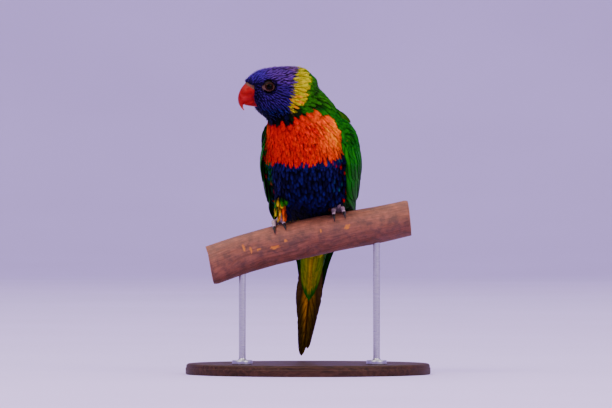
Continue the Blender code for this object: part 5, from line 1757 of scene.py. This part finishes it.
def build_foot(label, scales, horn):
    """Two toes forward and two back, clothed in overlapping scutes, with a short shank."""
    x = FOOT_PLACES[label]
    parts, marks = [], []
    for toe, shift, spread, begin, end in TOES:
        share = np.linspace(0, 1, 64)
        swell = TOE_RADIUS * (1.0 + 0.13 * np.sin(share * 4 * math.pi + 0.5)) * (1 - 0.18 * share)
        angle = begin + (end - begin) * share
        middle, along, outward, radius = perch_frame(x, angle)
        arch = TOE_ARCH * np.sin(math.pi * np.minimum(1.0, 1.5 * share))
        aside = shift * 0.75 + spread * share
        path = middle + outward * (radius + GAP + 0.1 + swell + arch)[:, None] + along * aside[:, None]
        turn = turns_of(TOE_SIDES)
        # a scute every 1.5 mm: each rises towards its far edge and steps down to the next
        phase = (share * 11.0) % 1.0
        step = (phase**1.6)[:, None] * (0.35 + 0.65 * smooth(np.sin(turn), -0.1, 0.7))[None]
        ends = np.sqrt(np.clip(1 - np.maximum(0, (share - 0.93) / 0.07) ** 2, 0.05, 1))
        radii = (swell * ends)[:, None] * (0.93 + 0.13 * step)
        parts.append(sweep(path, radii, TOE_SIDES, outward))
        # painted light and shade: each scute is paler towards its raised far edge and on the side away from
        # the branch, and darker where it starts below the step of the one before and on the side against the
        # branch
        tone = (0.15 + 0.85 * step * smooth(np.sin(turn), -0.6, 0.4)[None]).ravel()
        marks.append(np.append(tone, [0.2, 0.2]))
        # its claw
        share = np.linspace(0, 1, 26)
        angle = end + (-1.0 if end < begin else 1.0) * (3.0 + 21.0 * share)
        middle, along, outward, radius = perch_frame(x, angle)
        thick = CLAW_RADIUS * (1 - share) ** 0.7 + 0.10
        lift = GAP + 0.22 + thick + 1.1 * np.sin(share * math.pi) * (1 - share * 0.3)
        aside = shift * 0.75 + spread * (1 + 0.2 * share)
        path = middle + outward * (radius + lift)[:, None] + along * aside[:, None]
        made = clean_up(add_mesh(f"claw_{label}_{toe}_horn", *sweep(path, thick[:, None], 18, outward)))
        place(made, horn, "claw", f"claw_{label}_{toe}")
    middle, _, outward, radius = perch_frame(x, 108.0)
    ball_of_foot = middle + outward * (radius + GAP + 2.6)
    way = 1 if label == "left" else -1
    ankle = np.array((way * 20.8 + 1.0, PERCH_Y - 5.5, ball_of_foot[2] + 5.0))
    # it goes on up into the plumage, past the solid's end
    share = np.linspace(0, 2.0, 24)
    path = ball_of_foot + (ankle - ball_of_foot) * np.minimum(share, 1.0)[:, None]
    path = path + UP * (6.0 * np.maximum(share - 1.0, 0.0))[:, None]
    radii = (2.5 - 0.5 * smooth(share, 0.0, 0.5)) * (0.95 + 0.1 * ((share * 6.0) % 1.0))
    parts.append(sweep(path, radii[:, None], TOE_SIDES, np.tile((0.0, -1.0, 0.3), (24, 1))))
    marks.append(np.full(len(parts[-1][0]), 0.45))
    made = clean_up(add_mesh(f"foot_{label}_scutes", *joined(parts)))
    set_points(made, "scute_light_and_shade", np.concatenate(marks))
    place(made, scales, "foot", f"foot_{label}")


# Branch and stand

# Nicks that bare the orange sapwood: where along the branch, the angle on it, length and height
NICKS = (
    (-24.5, -5.0, 4.4, 1.7), (-45.5, 19.0, 1.0, 4.2), (-41.2, 3.0, 0.9, 3.6), (-36.1, 1.0, 2.0, 1.1),
    (9.8, 12.0, 0.9, 1.9), (28.6, 9.0, 2.1, 2.4), (30.5, 16.0, 0.8, 1.2), (-16.0, 6.0, 1.4, 1.5),
    (46.0, 150.0, 3.0, 1.2), (-5.0, 205.0, 2.4, 1.4),
)


def branch_surface(x, angle, radius):
    """The branch's radius: long ridges away from the feet, one old knot, fine furrows and nicks."""
    near_foot = np.min([np.abs(x - spot) for spot in FOOT_PLACES.values()], axis=0)
    calm = np.clip((near_foot - 8.0) / 12.0, 0.0, 1.0)
    turn = np.radians(angle)
    ridges = np.sin(3 * turn + 0.04 * x) + 0.6 * np.sin(5 * turn - 0.07 * x + 1.0)
    off = np.hypot((x - KNOT_X) / 6.0, ((angle - KNOT_ANGLE + 180) % 360 - 180) / 24.0)
    ridge = settings().perch.ridges / MM
    body = radius + ridge * calm * ridges + KNOT_HEIGHT * np.exp(-off * off)
    rings = 0.12 * np.sin(off * 9.0) * np.exp(-(((off - 1.0) / 0.8) ** 2))
    furrow = np.zeros_like(body)
    rng = RNG(5)
    for _ in range(26):
        spot, length, where = rng.uniform(-80, 80), rng.uniform(12, 45), rng.uniform(0, 360)
        bend, deep, wide = rng.uniform(-0.25, 0.25), rng.uniform(0.05, 0.22), rng.uniform(1.6, 3.6)
        span = np.exp(-(((x - spot) / length) ** 4))
        away = (angle - where - bend * (x - spot) + 180) % 360 - 180
        furrow -= deep * span * np.exp(-((away / wide) ** 2))
    return body + rings + furrow, furrow, off


def build_branch(wood):
    """The cut branch: its worn skin, and two sawn ends with rounded rims and year rings."""
    rows, sides = 260, 150
    x = np.linspace(PERCH_LEFT, PERCH_RIGHT, rows)
    angle = np.arange(sides) * 360.0 / sides
    x, angle = np.meshgrid(x, angle, indexing="ij")
    middle, along, outward, radius = perch_frame(x, angle)
    body, furrow, knot = branch_surface(x, angle, radius)
    nick = np.zeros_like(body)
    for spot, where, long, high in NICKS:
        away = (angle - where + 180) % 360 - 180
        off = np.hypot((x - spot) / long, away * math.pi / 180 * 14.0 / high)
        edge = 1 + 0.25 * np.sin(5 * np.arctan2(away, x - spot) + spot)
        nick = np.maximum(nick, 1 - smooth(off * edge, 0.55, 0.8))
    near_end = np.minimum(x - PERCH_LEFT, PERCH_RIGHT - x)
    body = body - 0.35 * nick - 0.8 * (1 - smooth(near_end, 0.0, 1.2)) ** 2
    points = middle + outward * body[..., None]
    turn = np.radians(angle)
    # painted light and shade: paler on top and on the ridges' crests, partly real wear on top, and darker
    # underneath and in the furrows; a ring round the knot is darker too
    worn_and_lit = smooth(np.sin(turn), -0.35, 0.75) * (1 + 4.0 * np.minimum(0, furrow))
    worn_and_lit = (worn_and_lit + 0.10 * np.sin(3 * turn + 0.04 * x)) * (1 - 0.5 * np.exp(-(((knot - 0.9) / 0.35) ** 2)))
    zero = np.zeros(worn_and_lit.size)
    marks = {"worn_and_lit": [np.clip(worn_and_lit, 0, 1).ravel()], "nick": [nick.ravel()], "cut": [zero], "year": [zero]}
    grains = [np.stack([x, body * turn, body * 0], -1).reshape(-1, 3)]
    faces = grid_faces(rows, sides, closed=True)
    spots, count = [points.reshape(-1, 3)], rows * sides
    for end, sign in ((0, -1), (rows - 1, 1)):
        centre = middle[end].mean(0)
        before = end * sides + np.arange(sides)
        for share in (0.985, *np.linspace(0.95, 0.05, 20)):
            swell = (0.5 + 0.012 * np.sin(share * 40)) * (1 - share**6)
            spots.append(centre + (points[end] - centre) * share + along[end] * sign * swell)
            grains.append(np.stack([np.zeros(sides), body[end] * turn[end] * share, np.zeros(sides)], -1))
            now = count + np.arange(sides)
            faces += np.stack([before, np.roll(before, -1), np.roll(now, -1), now], 1).tolist()
            year = share * body[end] + 0.5 * np.sin(3 * turn[end]) * share
            year = year + 0.25 * np.sin(7 * turn[end] + 9 * share)
            cut = 1.0 if share < 0.97 else 0.4
            for key, value in (("worn_and_lit", 0.5), ("nick", 0.0), ("cut", cut), ("year", year)):
                marks[key].append(np.broadcast_to(value, sides))
            before, count = now, count + sides
        spots.append(centre[None] + along[end][:1] * sign * 0.5)
        grains.append(np.zeros((1, 3)))
        faces += np.stack([before, np.roll(before, -1), np.full(sides, count)], 1).tolist()
        for key, value in (("worn_and_lit", 0.5), ("nick", 0.0), ("cut", 1.0), ("year", 0.0)):
            marks[key].append([value])
        count += 1
    made = clean_up(add_mesh("perch_branch", np.concatenate(spots), faces))
    for key, values in marks.items():
        set_points(made, key, np.concatenate(values))
    kept = made.data.attributes.new("grain", "FLOAT_VECTOR", "POINT")
    kept.data.foreach_set("vector", np.concatenate(grains).astype(np.float32).ravel())
    made.data.set_sharp_from_angle(angle=math.radians(60))
    place(made, wood, "branch_wood", "perch")


def revolve(profile, sides, stretch=(1.0, 1.0), centre=(0.0, 0.0)):
    """Points and faces of a turned form, from its profile of radius and height."""
    turn = turns_of(sides)
    (x, y), (wide, deep) = centre, stretch
    across, back = wide * np.cos(turn), deep * np.sin(turn)
    rings = [
        np.stack([x + radius * across, y + radius * back, np.full(sides, float(height))], 1)
        for radius, height in profile
    ]
    ends = np.array([[x, y, profile[0][1]], [x, y, profile[-1][1]]])
    return np.concatenate(rings + [ends]), bar_faces(len(profile), sides)


def quarter(steps):
    """Points of a quarter round, as shares of its radius: how far in, and how far below its top."""
    turns = [math.pi / 2 * k / steps for k in range(steps + 1)]
    return [(1 - math.cos(turn), 1 - math.sin(turn)) for turn in turns]


def build_stand(board, steel):
    """An oval board with a moulded edge, and two turned rods with round feet."""
    # the board's profile: the radius as a share of its half length of 90 mm, and the height
    edge, half = 2.0, BASE_LENGTH / 2
    profile = [(0.55, 0.0), (1 - 0.9 / half, 0.0), (1 - 0.25 / half, 0.35), (1.0, 1.0)]
    steps = (0.0, 1.4), (0.35, 1.1), (0.5, 0.7)
    profile += [(1 - off / half, BASE_THICK - edge - low) for off, low in steps]
    profile += [(1 - (0.5 + edge * c) / half, BASE_THICK - edge * s) for c, s in quarter(6)]
    profile += [(0.93, BASE_THICK), (0.6, BASE_THICK), (0.25, BASE_THICK)]
    made = clean_up(add_mesh("stand_board", *revolve(profile, 160, (half, BASE_DEPTH / 2))))
    made.data.set_sharp_from_angle(angle=math.radians(35))
    place(made, board, "stand_wood", "stand_base")
    low = BASE_THICK + 0.02
    foot, sides = low + ROD_FOOT_THICK, 64
    profile = [(ROD_FOOT_RADIUS - 0.3, low), (ROD_FOOT_RADIUS, low + 0.3)]
    profile += [(ROD_FOOT_RADIUS - 0.8 * c, foot - 0.8 * s) for c, s in quarter(4)]
    profile += [(ROD_RADIUS + 1.6 * s, foot + 1.6 * c) for c, s in quarter(6)]
    profile += [(ROD_RADIUS, foot + 2.4), (ROD_RADIUS, foot + 20)]
    for label, x in zip(("left", "right"), ROD_PLACES):
        points, faces = revolve(profile, sides, centre=(x, PERCH_Y))
        # the rod ends just inside the worn skin of the branch, on its slant
        rim, depth = (ROD_RADIUS * way(turns_of(sides)) for way in (np.cos, np.sin))
        top = spline_at(x + rim, PERCH_X, PERCH_Z)
        top = top - np.sqrt(spline_at(x + rim, PERCH_X, PERCH_RADIUS) ** 2 - depth**2) - 0.05
        points[-2 - sides : -2, 2] = top
        points[-1, 2] = top.mean() + 0.2
        made = clean_up(add_mesh(f"stand_rod_{label}_steel", points, faces))
        made.data.set_sharp_from_angle(angle=math.radians(35))
        place(made, steel, "stand_steel", f"stand_rod_{label}")


# Operators: one for each piece or group of like pieces, and one for the stage

MADE = {}


def material(name, maker, *values):
    """Makes each material once."""
    if name not in MADE:
        MADE[name] = maker(*values)
    return MADE[name]


def the_skin():
    if "skin" not in MADE:
        raise RuntimeError("add the skin before what grows from it")
    return MADE["skin"]


# Metres across the photo's frame at the perch, which sets the lens
PHOTO_WIDTH = 0.4468


class AddStage(bpy.types.Operator):
    """Adds the floor and backdrop, the soft lights and the camera"""

    bl_idname = "lorikeet.add_stage"
    bl_label = "Stage, lights and camera"

    def execute(self, context):
        # the floor sweeps up all round, well outside any view's camera
        profile = [(0.0001, 0.0), (0.5, 0.0), (2.0, 0.0), (4.0, 0.0), (5.5, 0.0)]
        turns = [k * math.pi / 16 for k in range(1, 9)]
        profile += [(5.5 + 2 * math.sin(turn), 2 - 2 * math.cos(turn)) for turn in turns]
        profile.append((7.5, 4.5))
        points, _ = revolve([(reach / MM, (rise - 0.00002) / MM) for reach, rise in profile], 72)
        floor = add_mesh("studio_paper_sweep", points[:-2], grid_faces(len(profile), 72, closed=True))
        floor.data.shade_smooth()
        floor.data.materials.append(studio_paper())
        stage = settings().stage
        target = Vector((0.0, 0.0, 0.13))
        for name, spot, size, power, hue in (
            ("key", (-1.3, -1.9, 2.2), (1.6, 1.2), stage.key_power * 0.8, "#fff2e4"),
            ("fill", (2.0, -2.0, 1.5), (1.6, 1.4), stage.key_power * 0.68, "#fff4ea"),
            ("wash", (0.0, 0.0, 4.3), (9.0, 9.0), stage.key_power * 7.5, "#fdf8fa"),
        ):
            lamp = bpy.data.lights.new(name, "AREA")
            lamp.shape = "RECTANGLE"
            lamp.size, lamp.size_y = size
            lamp.energy = power
            lamp.color = linear(hue)[:3]
            made = bpy.data.objects.new(name, lamp)
            made.location = spot
            made.rotation_euler = (target - Vector(spot)).to_track_quat("-Z", "Y").to_euler()
            context.scene.collection.objects.link(made)
        world = bpy.data.worlds.new("studio")
        world.use_nodes = True
        back = world.node_tree.nodes["Background"]
        back.inputs["Color"].default_value = linear("#cfc8e4")
        back.inputs["Strength"].default_value = 0.4
        context.scene.world = world
        lens = bpy.data.cameras.new("camera")
        lens.sensor_width = 36.0
        lens.lens = lens.sensor_width * stage.camera_distance / PHOTO_WIDTH
        lens.clip_start, lens.clip_end = 0.1, 50.0
        camera = bpy.data.objects.new("camera", lens)
        camera.location = (-0.0015, PERCH_Y * MM - stage.camera_distance, 0.125)
        camera.rotation_euler = (math.pi / 2, 0.0, 0.0)
        context.scene.collection.objects.link(camera)
        context.scene.camera = camera
        return {"FINISHED"}


class AddStand(bpy.types.Operator):
    """Adds the oval board and its two steel rods"""

    bl_idname = "lorikeet.add_stand"
    bl_label = "Display stand"

    def execute(self, context):
        build_stand(stained_beech(), brushed_steel())
        return {"FINISHED"}


class AddBranch(bpy.types.Operator):
    """Adds the short cut length of branch"""

    bl_idname = "lorikeet.add_branch"
    bl_label = "Branch"

    def execute(self, context):
        build_branch(weathered_branch())
        return {"FINISHED"}


class AddSkin(bpy.types.Operator):
    """Adds the one skin that all feathers are rooted in"""

    bl_idname = "lorikeet.add_skin"
    bl_label = "Skin"

    def execute(self, context):
        made = build_skin()
        down = material("down", feather_keratin, "grey down and skin", 0.7, 0.8)
        place(made, down, "blue_plumage", "head", "neck", "torso", "thigh_left", "thigh_right")
        MADE["skin"] = Skin(made)
        return {"FINISHED"}


# The collar ends this far down the trunk, in millimetres
COLLAR_END = 40


def coat_sizes(at, rng):
    """Length, width, lift and spacing of the feathers at each place, in millimetres."""
    head = on_head(at)
    zone = zone_shares(at)
    face = smooth(at.h, 2.0, 20.0)
    rear = smooth(-at.h, -4.0, 14.0)
    head_length = 4.2 + 3.6 * rear - 1.5 * face + 1.2 * smooth(-at.v, 8.0, 18.0)
    head_width = 1.15 + 0.3 * rear - 0.15 * face + 0.3 * smooth(-at.v, 10.0, 18.0)
    red, blue = zone.red, zone.blue
    low = red * (1 - smooth(at.z - spline_at(at.x, *BREAST_FOOT), 1.0, 8.0))
    length = head_length * head + (10.5 - 3.1 * blue - 0.8 * red - 3.4 * low) * (1 - head)
    width = head_width * head + (5.6 - 2.1 * blue - 2.8 * red) * (1 - head)
    collar = np.maximum(zone.collar, 0) * (at.t < COLLAR_END)
    length = length * (1 - collar) + 8.0 * collar + 1.5 * zone.vent
    width = width * (1 - collar) + 3.6 * collar
    thigh = thigh_share(at)
    length = length * (1 - thigh) + 9.5 * thigh
    width = width * (1 - thigh) + 2.5 * thigh
    lift = np.where(head > 0.5, 0.95, 0.75 + 0.3 * blue + 0.25 * red + 0.2 * (1 - zone.front))
    lift = lift * (1 - 0.3 * thigh) * (1 - 0.45 * collar)
    jitter = rng.uniform(0.88, 1.12, len(length))
    return length * jitter, width * rng.uniform(0.9, 1.1, len(length)), lift


# Where the coat is cut into pieces, in millimetres: the face from the hood, measured towards the bill
# from the head's middle, and the neck and the breast from what lies below, measured down the trunk
FACE_START, NECK_END, BELLY_START = 2, 30, 58
# No piece of the coat has more triangles than this
MOST_TRIANGLES = 190000


class AddCoat(bpy.types.Operator):
    """Adds the body feathers: face, crown, throat, collar, back, breast, belly, flanks and vent"""

    bl_idname = "lorikeet.add_coat"
    bl_label = "Coat of feathers"

    def execute(self, context):
        skin = the_skin()
        look = settings().plumage
        body, head_room = look.body_spacing / MM, look.head_spacing / MM
        web = material("feather", feather_keratin, "lorikeet feather keratin")

        def spacing(at):
            head = on_head(at)
            zone = zone_shares(at)
            rear = smooth(-at.h, -2.0, 14.0)
            room = (head_room * (1 + 0.45 * rear)) * head + body * (1 - head)
            room = np.where((zone.collar > 0.5) & (at.t < COLLAR_END), 1.6, room)
            room = np.where((zone.blue > 0.5) & (at.t > 50), 0.76 * body, room)
            room = np.where((zone.red > 0.5) & (head < 0.5), 0.52 * body, room)
            behind = (zone.front < 0.5) & (head < 0.5) & (zone.collar < 0.5)
            room = np.where(behind, 0.76 * body, room)
            room = np.where(thigh_share(at) > 0.5, 1.9, room)
            away, turn = eye_polar(at)
            bare = (away < eye_rim(turn)) & (np.abs(at.w) > EYE_SIDE)
            bill = (at.h > 21.5) & (np.abs(at.w) < 5.2) & (at.v < 6.5) & (at.v > -11.5)
            bill |= (at.h > 26.0) & (at.v < 6.5)
            return np.where(bare | bill, 0.0, room)

        roots = scatter(skin, spacing, look.seed)
        at = BIRD.read(roots)
        rng = RNG(look.seed + 1)
        length, width, lift = coat_sizes(at, rng)
        small, front = on_head(at) > 0.5, zone_shares(at).front >= 0.5
        # each group's feathers, the barbs on one side of each, and its slot
        groups = {
            "coat_face": (small & (at.h > FACE_START), 6, "blue_plumage"),
            "coat_hood": (small & (at.h <= FACE_START), 6, "blue_plumage"),
            "coat_neck": (~small & ~front & (at.t < NECK_END), 10, "collar_plumage"),
            "coat_breast": (~small & front & (at.t < BELLY_START), 9, "breast_plumage"),
            "coat_belly": (~small & front & (at.t >= BELLY_START), 12, "blue_plumage"),
            "coat_back": (~small & ~front & (at.t >= NECK_END), 10, "green_plumage"),
        }
        for i, (name, (mask, barbs, slot)) in enumerate(groups.items()):
            pick = np.nonzero(mask)[0]
            # a shaft has 15 triangles, and a barb on each side of it has 9
            per_feather = 15 + 18 * barbs
            parts = max(1, math.ceil(len(pick) * per_feather / MOST_TRIANGLES))
            for part in range(parts):
                label = name if parts == 1 else f"{name}_{part + 1}"
                chosen = (values[pick[part::parts]] for values in (roots, length, width, lift))
                place(build_coat(label, skin, *chosen, barbs, look.seed + 10 * i + part), web, slot)
        return {"FINISHED"}


class AddWings(bpy.types.Operator):
    """Adds the flight feathers and coverts of both folded wings"""

    bl_idname = "lorikeet.add_wings"
    bl_label = "Wings"

    def execute(self, context):
        web = material("vane", vane_keratin, "zipped vane keratin")
        for label, side in (("left", 1.0), ("right", -1.0)):
            build_wing(label, side, the_skin(), web)
        return {"FINISHED"}


class AddTail(bpy.types.Operator):
    """Adds the tail feathers and the coverts over and under their roots"""

    bl_idname = "lorikeet.add_tail"
    bl_label = "Tail"

    def execute(self, context):
        build_tail(the_skin(), material("vane", vane_keratin, "zipped vane keratin"))
        return {"FINISHED"}


class AddBill(bpy.types.Operator):
    """Adds the upper and lower bill and the cere"""

    bl_idname = "lorikeet.add_bill"
    bl_label = "Bill and cere"

    def execute(self, context):
        build_bill(bill_horn())
        build_cere(bare_skin("cere skin", settings().bare.cere, 0.7))
        return {"FINISHED"}


class AddEyes(bpy.types.Operator):
    """Adds the eyes and the bare rings round them"""

    bl_idname = "lorikeet.add_eyes"
    bl_label = "Eyes and lids"

    def execute(self, context):
        build_eyes(eye_gloss(), bare_skin("bare eye ring", settings().bare.lid, 0.45))
        return {"FINISHED"}


class AddFeet(bpy.types.Operator):
    """Adds both scaly feet and their claws"""

    bl_idname = "lorikeet.add_feet"
    bl_label = "Feet and claws"

    def execute(self, context):
        foot, claw = scaly_foot(), claw_horn()
        for label in FOOT_PLACES:
            build_foot(label, foot, claw)
        return {"FINISHED"}


OPERATORS = (AddStage, AddStand, AddBranch, AddSkin, AddCoat, AddWings, AddTail, AddBill, AddEyes, AddFeet)


class LorikeetPanel(bpy.types.Panel):
    """Lists the pieces and the values that may be changed"""

    bl_idname = "VIEW3D_PT_lorikeet"
    bl_label = "Rainbow lorikeet"
    bl_space_type = "VIEW_3D"
    bl_region_type = "UI"
    bl_category = "Lorikeet"

    def draw(self, context):
        column = self.layout.column()
        for operator in OPERATORS:
            column.operator(operator.bl_idname)
        for group in ("plumage", "bare", "perch", "stand", "stage"):
            box = self.layout.box()
            box.label(text=group.capitalize())
            values = getattr(context.scene.lorikeet, group)
            for key in values.__annotations__:
                box.prop(values, key)


CLASSES = (
    LorikeetPlumage, LorikeetBare, LorikeetPerch, LorikeetStand, LorikeetStage, LorikeetSettings, *OPERATORS,
    LorikeetPanel,
)


def register():
    for kind in CLASSES:
        bpy.utils.register_class(kind)
    bpy.types.Scene.lorikeet = PointerProperty(type=LorikeetSettings)


def unregister():
    del bpy.types.Scene.lorikeet
    for kind in reversed(CLASSES):
        bpy.utils.unregister_class(kind)


def main():
    register()
    for operator in OPERATORS:
        name = operator.bl_idname.split(".")[1]
        getattr(bpy.ops.lorikeet, name)()


if __name__ == "__main__":
    main()
